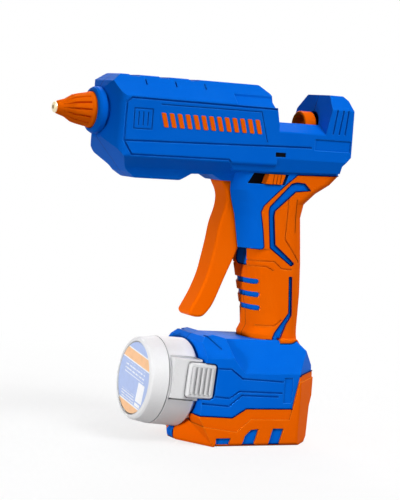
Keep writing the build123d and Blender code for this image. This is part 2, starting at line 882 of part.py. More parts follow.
def housing_body():
    """Both housing halves as one hollow body, before it is cut at the seam."""
    zone = grip_zone()
    core = handle_form(grip_t)
    inlays = handle_form(inlay_sink) & grip_inlays()
    inlays += handle_form(slot_sink) & finger_slots()
    handle = core + (handle_form() - zone) + inlays
    base = base_form(base_skin) - (bumper_zone() - base_form(bumper_t))
    outer = main_form() + handle + base + hard_toe()
    hollow = main_form(wall) - rod_x(barrel_end_x - 3, hump_x + wall, trough_r + wall, axis_z)
    hollow += handle_form(grip_t + wall) + base_form(bumper_t + wall)
    body = outer - hollow
    sleeve_r = stem_d / 2 + gap + wall
    body += rails() & main_form(wall / 2)
    body += pack_frame * rod_x(0.8, stem_len + 3, sleeve_r) & base_form(bumper_t)
    inside = main_form(1) + handle_form(grip_t) + base_form(bumper_t)
    for x, z in boss_places:
        body += rod_y(x, z, boss_r, -base_half, base_half) & inside
    body -= pack_bay(stem_d / 2 + gap, stem_len + 4.0)
    body -= pack_bay(pack_d / 2 + 0.6, 0.0)
    body -= latch_pockets() + trough() + path_cuts() + trigger_room() + side_lines()
    body -= base_lines() + top_steps() + switch_slot()
    body -= lens_shape(-barrel_half - 1, -barrel_half + wall + 1)
    body -= rod_y(pivot_x, pivot_z, pin_d / 2, -handle_half + 3, handle_half - 3)
    for x, z in boss_places:
        body -= rod_y(x, z, screw_d / 2, -screw_left - 1, head_seat + 1)
        body -= rod_y(x, z, head_d / 2 + gap, head_seat, base_half + 1)
    return body


def soft_grips():
    """Soft grip over the handle core, both sides."""
    skin = handle_form() - handle_form(grip_t)
    skin &= grip_zone() - grip_inlays() - finger_slots()
    skin -= main_form() + base_form(base_skin)
    skin -= trigger_room() + grip_lines()
    skin += grip_tongue()
    for x, z in boss_places:
        skin -= rod_y(x, z, head_d / 2 + gap, head_seat, base_half + 1)
    return skin


def soft_bumpers():
    """Soft bumper over the foot of the base, with its two toes."""
    skin = (base_form() - base_form(bumper_t)) & bumper_zone()
    skin += toe_form() - base_form(bumper_t)
    skin -= hard_toe() + bumper_band()
    skin -= pack_bay(pack_d / 2 + 0.6, 0.0) + pack_bay(stem_d / 2 + gap, stem_len)
    for x, z in boss_places:
        skin -= rod_y(x, z, head_d / 2 + gap, head_seat, base_half + 1)
    return skin


# ------------------------------------------------------------------ melt end and nozzle
def nose_collar():
    """Ring round the nozzle, held by its flange behind the front wall."""
    front = nose_x - collar_proud
    r = collar_d / 2
    bore = sleeve_base_d / 2 + gap
    back = ring_seat_x
    return turned([
        (front, bore),
        (front, r - 1.9),
        (front + 0.6, r - 0.7),
        (front + 1.8, r),
        (nose_x, r),
        (nose_x, r - 1.5),
        (back, r - 1.5),
        (back, r - 0.4),
        (back + 1.6, r - 0.4),
        (back + 1.6, bore),
    ], axis_z)


def nozzle_sleeve():
    """Fluted heat-proof cover of the nozzle."""
    base = nose_x - collar_proud - 0.4
    tip = nozzle_tip_x + 1.4
    r0 = sleeve_base_d / 2
    r1 = sleeve_mid_d / 2
    r2 = sleeve_tip_d / 2
    middle = (base + tip) / 2
    cover = turned([
        (tip, r2 - 0.8),
        (tip + 0.8, r2 - 0.3),
        (tip + 5.0, r2 + 1.0),
        (middle - 0.6, r1),
        (middle + 2.6, r1 + 0.8),
        (base - 2.0, r0 - 0.5),
        (base - 0.8, r0),
        (nose_x + 1.0, r0),
        (nose_x + 1.0, nozzle_root_r),
        (base, nozzle_root_r),
        (tip, nozzle_nose_r),
    ], axis_z)
    ends = []
    for x, r, half in ((tip + 3.0, r2 + 0.5, 0.5), (middle, r1, 0.9), (base - 2.2, r0 - 0.3, 1.1)):
        vee = Polygon((-half, r + 1.0), (half, r + 1.0), (0, r - flute_d * half), align=None)
        ends.append(Plane((x, 0, 0), (0, 1, 0), (1, 0, 0)) * vee)
    flute = loft(ends, ruled=True)
    for i in range(flutes):
        cover -= Pos(0, 0, axis_z) * Rot(360 / flutes * (i + 0.5), 0, 0) * flute
    return cover


def nozzle_tip():
    """Metal nozzle from the melt chamber to the outlet."""
    tip = nozzle_tip_x
    root = nose_x + 0.5
    return turned([
        (tip, tip_bore / 2),
        (tip, nozzle_nose_r - 0.9),
        (tip + 0.6, nozzle_nose_r),
        (tip + 1.4, nozzle_nose_r),
        (nose_x - collar_proud - 0.4, nozzle_root_r),
        (root, nozzle_root_r),
        (root, bore_r - 2.4),
        (tip + 12.0, tip_bore / 2),
    ], axis_z)


def heating_element():
    """Flat heater plate under the melt chamber."""
    x0 = chamber_front_x + 9.0
    z1 = axis_z - chamber_r - 1.2
    return block(x0, x0 + heater_len, -heater_half, heater_half, z1 - heater_high, z1)


def melt_chamber():
    """Heated aluminium barrel with the heater pocket under it."""
    x0 = chamber_front_x
    x1 = chamber_rear_x
    body = turned([
        (nose_x + 0.5, bore_r - 2.4),
        (nose_x + 0.5, nozzle_root_r),
        (x0, nozzle_root_r),
        (x0, chamber_r),
        (x1, chamber_r),
        (x1, bore_r),
        (x0 + 12.0, bore_r),
    ], axis_z)
    z1 = axis_z - chamber_r
    half = heater_half + 1.5
    lug = block(x0 + 7.0, x0 + 11.0 + heater_len, -half, half, z1 - heater_high - 2.7, z1 + 4)
    body += lug - rod_x(x0, x1, chamber_r - 0.5, axis_z)
    return body - heating_element()


def chamber_support(x):
    """Heat-proof plate that holds the chamber between the housing halves."""
    half = barrel_half - wall
    plate = prism_x(mirrored([
        (half - 9.0, axis_z + 14.6),
        (half, axis_z + 6.4),
        (half, axis_z - chamber_r - 3.6),
        (half - 6.0, axis_z - chamber_r - 6.6),
    ]), x, x + 2.6)
    return plate - rod_x(x - 1, x + 4, chamber_r, axis_z)


def inlet_sleeve():
    """Rubber sleeve that leads the stick into the chamber."""
    x0 = chamber_rear_x
    return turned([
        (x0, bore_r),
        (x0, chamber_r - 0.6),
        (x0 + 3.0, chamber_r - 0.6),
        (x0 + inlet_len, guide_r),
        (x0 + inlet_len, bore_r),
    ], axis_z)


def stick_guide():
    return tube_x(chamber_rear_x + inlet_len, barrel_end_x + 1.0, guide_r, bore_r, axis_z)


def inlet_bush():
    """Flared ring in the back wall where the stick goes in."""
    x1 = tail_rear_x
    return turned([
        (x1 - inlet_bush_len, bore_r),
        (x1 - inlet_bush_len, guide_r + 1.2),
        (x1 - wall, guide_r + 1.2),
        (x1 - wall, guide_r),
        (x1, guide_r),
        (x1, bore_r),
    ], axis_z)


# ------------------------------------------------------------------ trigger and feed
def trigger():
    """Lever with its hinge boss and the fork that drives the feed slide."""
    side = trigger_outline()
    face = make_face(blended(side, trigger_reach))
    plane = Plane((0, -trigger_half, 0), (1, 0, 0), (0, -1, 0))
    lever = extrude(plane * face, 2 * trigger_half, dir=(0, 1, 0))
    rims = lever.faces().sort_by(Axis.Y)
    lever = fillet(rims[0].edges() + rims[-1].edges(), trigger_r)
    lever += rod_y(pivot_x, pivot_z, 5.4, -trigger_half, trigger_half)
    inner = bar_half + gap
    arm = block(pivot_x - 4.6, pivot_x + 4.6, inner, inner + fork_t, pivot_z, bar_z + 3.2)
    slot = drive_pin_d / 2 + gap
    arm -= block(pivot_x - slot, pivot_x + slot, inner - 1, inner + fork_t + 1, bar_z - slot, bar_z + 9)
    lever += both_sides(arm)
    lever -= block(pivot_x - 9, pivot_x + 9, -inner, inner, pivot_z + 6.0, bar_z + 9)
    return lever - rod_y(pivot_x, pivot_z, pin_d / 2, -trigger_half - 1, trigger_half + 1)


def trigger_pin():
    return rod_y(pivot_x, pivot_z, pin_d / 2 - pin_play, -pin_half, pin_half)


def feed_slide():
    """Bar under the stick path that carries the feed collar forward."""
    low = bar_z - bar_high / 2
    high = bar_z + bar_high / 2
    bar = block(bar_front_x, bar_rear_x, -bar_half, bar_half, low, high)
    bar += block(collar_x + 1.0, collar_x + collar_len - 1.0, -2.0, 2.0, high, axis_z - bore_r)
    bar -= rod_x(collar_x - 1, collar_x + collar_len + 1, collar_r, axis_z)
    bar -= rod_y(pivot_x, bar_z, drive_pin_d / 2, -bar_half - 1, bar_half + 1)
    return bar - rod_x(bar_front_x - 1, spring_seat_x, spring_d / 2 + gap, bar_z)


def drive_pin():
    half = bar_half + gap + fork_t + 0.4
    return rod_y(pivot_x, bar_z, drive_pin_d / 2, -half, half)


def feed_collar():
    """Ring that grips the stick and takes it forward."""
    ring = turned([
        (collar_x + 0.8, bore_r),
        (collar_x, bore_r + 0.8),
        (collar_x, collar_r - 0.5),
        (collar_x + 0.5, collar_r),
        (collar_x + collar_len, collar_r),
        (collar_x + collar_len, bore_r),
    ], axis_z)
    return ring - jaw_space()


def jaw_space():
    x0 = collar_x + 2.0
    return block(x0, x0 + 3.4, -2.4, 2.4, axis_z - bore_r - 1.0, axis_z - bore_r + 0.6)


def grip_jaw():
    """Toothed steel plate let into the collar under the stick."""
    x0 = collar_x + 2.0
    top = axis_z - bore_r + 0.3
    jaw = block(x0, x0 + 3.4, -2.4, 2.4, axis_z - bore_r - 1.0, top)
    for i in range(3):
        x = x0 + 0.3 + 1.1 * i
        jaw -= prism_y([(x, top + 0.1), (x + 0.55, top - 0.5), (x + 1.0, top + 0.1)], -3, 3)
    return jaw


def slide_spring():
    """Return spring in the front end of the feed slide."""
    length = spring_seat_x - spring_front_x
    radius = spring_d / 2 - spring_wire / 2
    path = Helix(length / spring_turns, length - spring_wire, radius)
    start = Plane(path @ 0, z_dir=path % 0)
    coil = sweep(start * Circle(spring_wire / 2), path, is_frenet=True)
    return Pos(spring_front_x + spring_wire / 2, 0, bar_z) * Rot(0, 90, 0) * coil


# ------------------------------------------------------------------ switch, light and electronics
def power_switch():
    """Sliding knob of the on/off switch, at its rear stop."""
    x0 = slot_front_x + switch_throw + gap
    half = knob_high / 2
    outer = -handle_half - knob_proud
    points = [
        (x0, slot_z - half),
        (x0 + 1.9, slot_z + half),
        (x0 + knob_len, slot_z + half),
        (x0 + knob_len - 1.9, slot_z - half),
    ]
    knob = prism_y(points, outer, switch_face - gap)
    for i in range(3):
        x = x0 + 4.2 + 2.2 * i
        knob -= trace([(x, slot_z - half - 1), (x + 0.8, slot_z + half + 1)], 0.6, outer - 1, outer + 0.4)
    return knob


def switch_body():
    """Slide switch behind the knob."""
    x0 = slot_front_x - 1.0
    x1 = slot_front_x + knob_len + switch_throw + 2.0
    half = knob_high / 2 + 0.8
    return block(x0, x1, switch_face, -trigger_half - 2 * gap, slot_z - half, slot_z + half)


def indicator_lens():
    """Smoked window in the left flank."""
    return lens_shape(-barrel_half + 0.4, -barrel_half + wall + 0.6)


def circuit_board():
    """Board that holds the heater's temperature, under the melt chamber."""
    return block(board_x, board_x + 36.0, -board_half, board_half, board_z, board_z + board_t)


def board_components():
    """Tall parts soldered on the circuit board."""
    x0 = board_x
    z0 = board_z + board_t
    parts = block(x0 + 24, x0 + 33, -9, 2, z0, z0 + 4.2)
    parts += block(x0 + 8, x0 + 12, -8, -4, z0, z0 + 1.6)
    for i in range(2):
        parts += Pos(x0 + 28.5, 4.9 + 0.1 * i, 0) * Pos(-14 * i, 0, z0 + 2.2) * Cylinder(2.6, 4.4)
    return parts


# ------------------------------------------------------------------ battery pack
def battery_case():
    """Rear shell of the pack with the stem that goes into the base."""
    r = pack_d / 2
    stem = stem_d / 2
    shell = turned([
        (-pack_split, 0),
        (-pack_split, r - 0.3),
        (-1.0, r),
        (0, r - 0.8),
        (0, stem),
        (stem_len - 1.5, stem),
        (stem_len, stem - 1.5),
        (stem_len, 0),
    ])
    y1 = latch_floor + latch_lip
    z1 = latch_high / 2 + latch_rim
    boss = block(-pack_split + 1, 0, -y1, y1, latch_up - z1, latch_up + z1)
    shell += boss - rod_x(-pack_split, 1, r - 3)
    for z in (latch_up - z1, latch_up + z1):
        furrow = block(-pack_split + 1, -1.0, latch_floor - 4, y1 + 1, z - 0.5, z + 0.5)
        shell -= both_sides(furrow - rod_x(-pack_split, 0, r - 1.4))
    shell -= rod_x(-pack_split - 1, stem_len - pack_wall, stem - pack_wall)
    half = latch_high / 2 + gap
    area = Pos(0, latch_up) * RectangleRounded(latch_len + 2 * gap, 2 * half, latch_r - 1.0)
    pocket = extrude(Plane((0, latch_floor, 0), (1, 0, 0), (0, -1, 0)) * area, 20, dir=(0, 1, 0))
    shell -= both_sides(pocket)
    for i in range(2):
        y = blade_y if i else -blade_y
        shell -= block(stem_len - 9, stem_len + 1, y - 1.1, y + 1.1, -5.2, 5.2)
    return pack_frame * shell


def battery_cap():
    """Front cup of the pack."""
    x0 = -pack_front
    x1 = -pack_split
    r0 = pack_front_d / 2
    r1 = pack_d / 2 - 0.3
    cup = turned([
        (x0 + label_t + 0.6, 0),
        (x0 + label_t + 0.6, label_d / 2),
        (x0, label_d / 2 + 0.6),
        (x0, r0 - 2.4),
        (x0 + 0.6, r0 - 1.1),
        (x0 + 1.6, r0 - 0.3),
        (x0 + 3.0, r0),
        (x1 - 0.7, r1),
        (x1, r1 - 0.5),
        (x1, stem_d / 2 - pack_wall),
        (x0 + cup_wall, stem_d / 2 - pack_wall),
        (x0 + cup_wall, 0),
    ])
    return pack_frame * cup


def battery_label():
    x0 = -pack_front + 0.6
    return pack_frame * rod_x(x0, x0 + label_t, label_d / 2 - 0.1)


def battery_cells():
    """Three round cells side by side in a triangle."""
    pitch_r = (cell_d + 0.1) / math.sqrt(3)
    cells = None
    for i in range(3):
        angle = math.radians(90 + 120 * i)
        y = pitch_r * math.cos(angle)
        z = pitch_r * math.sin(angle)
        cell = Pos(0, 0, z) * rod_x(cell_x0, cell_x0 + cell_len, cell_d / 2, 0, y)
        cells = cell if cells is None else cells + cell
    return pack_frame * cells


def pack_terminals():
    """Spring jaws at the end of the stem, one for each blade of the tool."""
    x1 = stem_len - 2.0
    jaws = None
    for y in (-blade_y, blade_y):
        for side in (-1, 1):
            y0 = y + side * (blade_t / 2 + 0.35)
            jaw = block(x1 - jaw_len, x1, y0 - 0.25, y0 + 0.25, -4.6, 4.6)
            jaws = jaw if jaws is None else jaws + jaw
    return pack_frame * jaws


def terminal_block():
    """Disc at the end of the battery bay that carries the contact blades."""
    r = stem_d / 2 + gap
    disc = rod_x(stem_len + gap, stem_len + gap + 2.4, r)
    for y in (-blade_y, blade_y):
        disc -= block(stem_len - 1, stem_len + 6, y - blade_t / 2, y + blade_t / 2, -4.0, 4.0)
    return pack_frame * disc


def tool_blades():
    """Two blades that reach from the terminal block into the pack."""
    blades = None
    for y in (-blade_y, blade_y):
        blade = block(stem_len - 7.0, stem_len + 5.0, y - blade_t / 2, y + blade_t / 2, -4.0, 4.0)
        blades = blade if blades is None else blades + blade
    return pack_frame * blades


def latch(side):
    """Ribbed release pad of the pack on one side."""
    inner = latch_floor + latch_throw + gap
    half = latch_high / 2
    area = Pos(0, latch_up) * RectangleRounded(latch_len, latch_high, latch_r - 1.2)
    pad = extrude(Plane((0, inner, 0), (1, 0, 0), (0, -1, 0)) * area, latch_t, dir=(0, 1, 0))
    pad = chamfer(pad.faces().sort_by(Axis.Y)[-1].edges(), 0.7)
    for i in range(5):
        x = -latch_len / 2 + 1.6 + 2.8 * i
        z0 = latch_up - half + 2.2
        pad += block(x, x + 1.3, inner + latch_t - 1, inner + latch_t + 0.8, z0, z0 + latch_high - 4.4)
    if side < 0:
        pad = mirror(pad, Plane.XZ)
    return pack_frame * pad


def latch_spring(side):
    """Short spring between the pack and a release pad."""
    y0 = latch_floor
    y1 = latch_floor + latch_throw + gap
    ring = rod_y(-3.5, latch_up, 3.0, y0, y1) - rod_y(-3.5, latch_up, 2.2, y0 - 1, y1 + 1)
    if side < 0:
        ring = mirror(ring, Plane.XZ)
    return pack_frame * ring


# ------------------------------------------------------------------ fasteners
def housing_screws():
    """Pan-head screws that draw the right half onto the left one."""
    screws = None
    for x, z in boss_places:
        screw = rod_y(x, z, screw_d / 2, -screw_left, head_seat)
        screw += rod_y(x, z, head_d / 2, head_seat, head_seat + head_h)
        y0 = head_seat + head_h - 1
        cross = block(x - 1.6, x + 1.6, y0, y0 + 2, z - 0.35, z + 0.35)
        cross += block(x - 0.35, x + 0.35, y0, y0 + 2, z - 1.6, z + 1.6)
        screw -= cross
        screws = screw if screws is None else screws + screw
    return screws


# ------------------------------------------------------------------ write the pieces
os.makedirs("parts", exist_ok=True)
housing = housing_body()
grips = soft_grips()
bumpers = soft_bumpers()
pieces = {
    "left_housing": keep_side(housing, -1),
    "right_housing": keep_side(housing, 1),
    "left_grip": keep_side(grips, -1),
    "right_grip": keep_side(grips, 1),
    "left_bumper": keep_side(bumpers, -1),
    "right_bumper": keep_side(bumpers, 1),
    "nose_collar": nose_collar(),
    "nozzle_sleeve": nozzle_sleeve(),
    "nozzle_tip": nozzle_tip(),
    "melt_chamber": melt_chamber(),
    "heating_element": heating_element(),
    "front_chamber_support": chamber_support(chamber_front_x + 3.0),
    "rear_chamber_support": chamber_support(chamber_rear_x - 6.0),
    "inlet_sleeve": inlet_sleeve(),
    "stick_guide": stick_guide(),
    "stick_inlet_bush": inlet_bush(),
    "trigger": trigger(),
    "trigger_pin": trigger_pin(),
    "feed_slide": feed_slide(),
    "drive_pin": drive_pin(),
    "feed_collar": feed_collar(),
    "grip_jaw": grip_jaw(),
    "slide_spring": slide_spring(),
    "power_switch": power_switch(),
    "switch_body": switch_body(),
    "indicator_lens": indicator_lens(),
    "circuit_board": circuit_board(),
    "board_components": board_components(),
    "terminal_block": terminal_block(),
    "tool_blades": tool_blades(),
    "battery_case": battery_case(),
    "battery_cap": battery_cap(),
    "battery_label": battery_label(),
    "battery_cells": battery_cells(),
    "pack_terminals": pack_terminals(),
    "left_latch": latch(-1),
    "right_latch": latch(1),
    "left_latch_spring": latch_spring(-1),
    "right_latch_spring": latch_spring(1),
    "housing_screws": housing_screws(),
}
for name, shape in pieces.items():
    export_step(Pos(stand_x, 0, 0) * shape, f"parts/{name}.step")
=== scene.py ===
"""Looks and studio of a cordless hot-melt glue gun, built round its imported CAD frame."""

from __future__ import annotations

import functools
import logging
import math
from dataclasses import dataclass
from enum import Enum
from typing import ClassVar, Iterable, Mapping, Sequence, Union

import bmesh
import bpy
from mathutils import Matrix, Vector
from mathutils.bvhtree import BVHTree

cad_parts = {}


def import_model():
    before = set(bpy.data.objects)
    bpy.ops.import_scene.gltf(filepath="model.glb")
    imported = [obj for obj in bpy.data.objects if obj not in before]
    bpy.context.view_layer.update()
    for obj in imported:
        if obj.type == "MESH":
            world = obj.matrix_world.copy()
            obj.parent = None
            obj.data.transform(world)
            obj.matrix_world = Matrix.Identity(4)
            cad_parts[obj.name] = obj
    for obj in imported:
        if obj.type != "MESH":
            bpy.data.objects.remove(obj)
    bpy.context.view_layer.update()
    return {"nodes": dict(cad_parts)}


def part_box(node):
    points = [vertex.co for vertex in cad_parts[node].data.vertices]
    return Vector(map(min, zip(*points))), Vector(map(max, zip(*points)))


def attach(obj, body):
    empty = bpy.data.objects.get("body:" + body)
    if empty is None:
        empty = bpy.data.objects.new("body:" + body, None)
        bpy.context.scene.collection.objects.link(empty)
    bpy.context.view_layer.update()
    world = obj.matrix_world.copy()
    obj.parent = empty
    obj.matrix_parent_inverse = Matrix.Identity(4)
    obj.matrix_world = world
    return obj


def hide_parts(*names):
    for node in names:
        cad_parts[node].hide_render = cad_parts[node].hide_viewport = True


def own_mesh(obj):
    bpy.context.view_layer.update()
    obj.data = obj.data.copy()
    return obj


LOG = logging.getLogger("glue_gun")
MM = 0.001
TOUCH = 1e-7  # Closer than this, in metres, two places are the same.
USUAL = (0.3, 0.7)  # Values that a noise mostly keeps to.
VIEW_MIDDLE = (0.00625, 0.0, 0.10424)  # Point in the middle of the view, in metres.

Colour = tuple[float, float, float]
Spot = tuple[float, float, float]
Range = tuple[float, float]
Box = tuple[float, float, float, float]


def paint(red: int, green: int, blue: int) -> Colour:
    """Linear colour of a paint-card value.

    Args:
        red: Red part, 0 to 255.
        green: Green part, 0 to 255.
        blue: Blue part, 0 to 255.

    Returns:
        The three linear parts.
    """

    def linear(part: int) -> float:
        """Linear value of one part."""
        share = part / 255
        return share / 12.92 if share <= 0.04045 else ((share + 0.055) / 1.055) ** 2.4

    return linear(red), linear(green), linear(blue)


class Paint(Enum):
    """Colours of the moulded and printed surfaces."""

    # In the blue, orange and grey rows, the second colour is the dark of grain specks and seams and also
    # paints shade into grooves and corners; the third is the pale of tone patches and scuffed edges and
    # also paints a highlight along edges.
    BLUE = paint(0, 104, 222)
    BLUE_DEEP = paint(0, 40, 124)
    BLUE_WORN = paint(48, 150, 255)
    # Painted shade of the narrow gap where soft skins meet the housing.
    NAVY_GAP_SHADE = paint(0, 18, 78)
    ORANGE = paint(246, 102, 0)
    ORANGE_DEEP = paint(128, 42, 0)
    ORANGE_WORN = paint(255, 146, 40)
    GREY = paint(228, 228, 229)
    GREY_DEEP = paint(120, 122, 126)
    GREY_WORN = paint(236, 236, 238)
    BLACK = paint(16, 16, 20)
    SMOKE = paint(4, 5, 10)
    BRASS = paint(236, 218, 176)
    STEEL = paint(150, 152, 156)
    SHEEN_BLUE = paint(70, 170, 255)
    SHEEN_ORANGE = paint(255, 180, 90)
    SHEEN_WHITE = paint(255, 255, 255)
    LABEL_BLUE = paint(178, 196, 238)
    LABEL_ORANGE = paint(250, 198, 150)
    LABEL_WHITE = paint(250, 251, 254)


class Slot(Enum):
    """Material slots of the record."""

    HOUSING = "housing_blue"
    GRIP = "grip_orange"
    SPRING = "spring_steel"


class Body(Enum):
    """Moving bodies that added pieces ride on."""

    FRAME = "frame"


# ---------------------------------------------------------------- shader maths
Operand = Union["Wire", float]


@dataclass(frozen=True)
class Wire:
    """Output of a shader node that can be used in sums.

    Args:
        graph: Node graph that the output belongs to.
        socket: The output itself.
    """

    graph: Graph
    socket: bpy.types.NodeSocket

    def _math(self, operation: str, first: Operand, second: Operand) -> Wire:
        """Wire of one Math node on two values."""
        return self.graph.node("ShaderNodeMath", {"operation": operation}, {0: first, 1: second})

    def __add__(self, other: Operand) -> Wire:
        """Sum."""
        return self._math("ADD", self, other)

    def __sub__(self, other: Operand) -> Wire:
        """Difference."""
        return self._math("SUBTRACT", self, other)

    def __rsub__(self, other: Operand) -> Wire:
        """Difference, number first."""
        return self._math("SUBTRACT", other, self)

    def __mul__(self, other: Operand) -> Wire:
        """Product."""
        return self._math("MULTIPLY", self, other)

    def __truediv__(self, other: Operand) -> Wire:
        """Quotient."""
        return self._math("DIVIDE", self, other)

    def above(self, limit: float) -> Wire:
        """1 where the value is over the limit, else 0."""
        return self._math("GREATER_THAN", self, limit)

    def below(self, limit: float) -> Wire:
        """1 where the value is under the limit, else 0."""
        return self._math("LESS_THAN", self, limit)

    def size(self) -> Wire:
        """Value without its sign."""
        return self._math("ABSOLUTE", self, 0.0)

    def root(self) -> Wire:
        """Square root."""
        return self._math("SQRT", self, 0.0)

    def repeat(self, pitch: float) -> Wire:
        """Value counted again from 0 after each pitch."""
        return self._math("FLOORED_MODULO", self, pitch)

    def larger(self, other: Operand) -> Wire:
        """The larger of two values."""
        return self._math("MAXIMUM", self, other)

    def ramp(self, low: float, high: float, start: float = 0.0, end: float = 1.0) -> Wire:
        """Value between two limits, stretched and clamped to another range.

        Args:
            low: Value that gives start.
            high: Value that gives end.
            start: Result at low.
            end: Result at high.

        Returns:
            The stretched value.
        """
        limits = {"Value": self, "From Min": low, "From Max": high, "To Min": start, "To Max": end}
        return self.graph.node("ShaderNodeMapRange", {"clamp": True}, limits)


class Graph:
    """Node graph of one material or of the world."""

    def __init__(self, tree: bpy.types.NodeTree) -> None:
        """Takes a node tree and clears it.

        Args:
            tree: Node tree of a material or a world.
        """
        self.nodes = tree.nodes
        self.links = tree.links
        self.nodes.clear()

    @classmethod
    def material(cls, name: str) -> tuple[Graph, bpy.types.Material]:
        """Graph of a new material.

        Args:
            name: Name of the finish.

        Returns:
            The graph and the material.
        """
        made = bpy.data.materials.new(name)
        made.use_nodes = True
        return cls(made.node_tree), made

    def node(
        self,
        kind: str,
        settings: Mapping[str, object] | None = None,
        inputs: Mapping[str | int, object] | None = None,
        output: str | int | None = 0,
    ) -> Wire | None:
        """Adds a node.

        Args:
            kind: Node type.
            settings: Its options, which are set first.
            inputs: Its sockets' numbers, colours or wires.
            output: Which output is returned, or None for a node that has none.

        Returns:
            The chosen output.
        """
        made = self.nodes.new(kind)
        for key, value in (settings or {}).items():
            setattr(made, key, value)
        for key, value in (inputs or {}).items():
            socket = made.inputs[key]
            if isinstance(value, Wire):
                self.links.new(value.socket, socket)
            elif isinstance(value, tuple) and len(value) == 3 and socket.type == "RGBA":
                socket.default_value = (*value, 1.0)
            else:
                socket.default_value = value
        return None if output is None else Wire(self, made.outputs[output])

    def mix(self, share: Operand, first: object, second: object) -> Wire:
        """Colour between two colours.

        Args:
            share: How much of the second colour.
            first: Colour or wire at share 0.
            second: Colour or wire at share 1.

        Returns:
            The mixed colour.
        """
        settings = {"data_type": "RGBA", "clamp_factor": True}
        return self.node("ShaderNodeMix", settings, {0: share, 6: first, 7: second}, 2)

    def place(self) -> Wire:
        """Point of the surface in the part's own frame, in metres."""
        return self.node("ShaderNodeTexCoord", output="Object")

    def axes(self, point: Wire) -> tuple[Wire, Wire, Wire]:
        """The three parts of a point."""
        made = self.node("ShaderNodeSeparateXYZ", None, {0: point}).socket.node
        return tuple(Wire(self, made.outputs[i]) for i in range(3))

    def noise(self, point: Wire, grain: float, detail: float = 2.0, rough: float = 0.5) -> Wire:
        """Cloudy value round 0.5.

        Args:
            point: Where it is read.
            grain: Size of its features in metres.
            detail: Number of finer layers.
            rough: Strength of the finer layers.

        Returns:
            The value.
        """
        inputs = {"Vector": point, "Scale": 1 / grain, "Detail": detail, "Roughness": rough}
        return self.node("ShaderNodeTexNoise", {"noise_dimensions": "3D"}, inputs)

    def bump(self, height: Wire, depth: float, strength: float, normal: Wire | None = None) -> Wire:
        """Normal of a surface with relief.

        Args:
            height: Relief from 0 to 1.
            depth: Its full height in metres.
            strength: Share of it that is applied.
            normal: Normal to start from.

        Returns:
            The new normal.
        """
        inputs: dict[str | int, object] = {"Strength": strength, "Distance": depth, "Height": height}
        if normal is not None:
            inputs["Normal"] = normal
        return self.node("ShaderNodeBump", None, inputs)

    def finish(self, inputs: Mapping[str | int, object]) -> None:
        """Ends the graph in one surface shader.

        Args:
            inputs: The shader's numbers, colours or wires.
        """
        shader = self.node("ShaderNodeBsdfPrincipled", None, inputs)
        self.node("ShaderNodeOutputMaterial", None, {"Surface": shader}, None)

    def seen(self) -> Wire:
        """1 for rays that show the surround itself: straight, mirrored or through glass.

        Returns:
            The value.
        """
        rays = "Is Camera Ray", "Is Glossy Ray", "Is Transmission Ray"
        first, second, third = (self.node("ShaderNodeLightPath", output=ray) for ray in rays)
        return first.larger(second).larger(third)


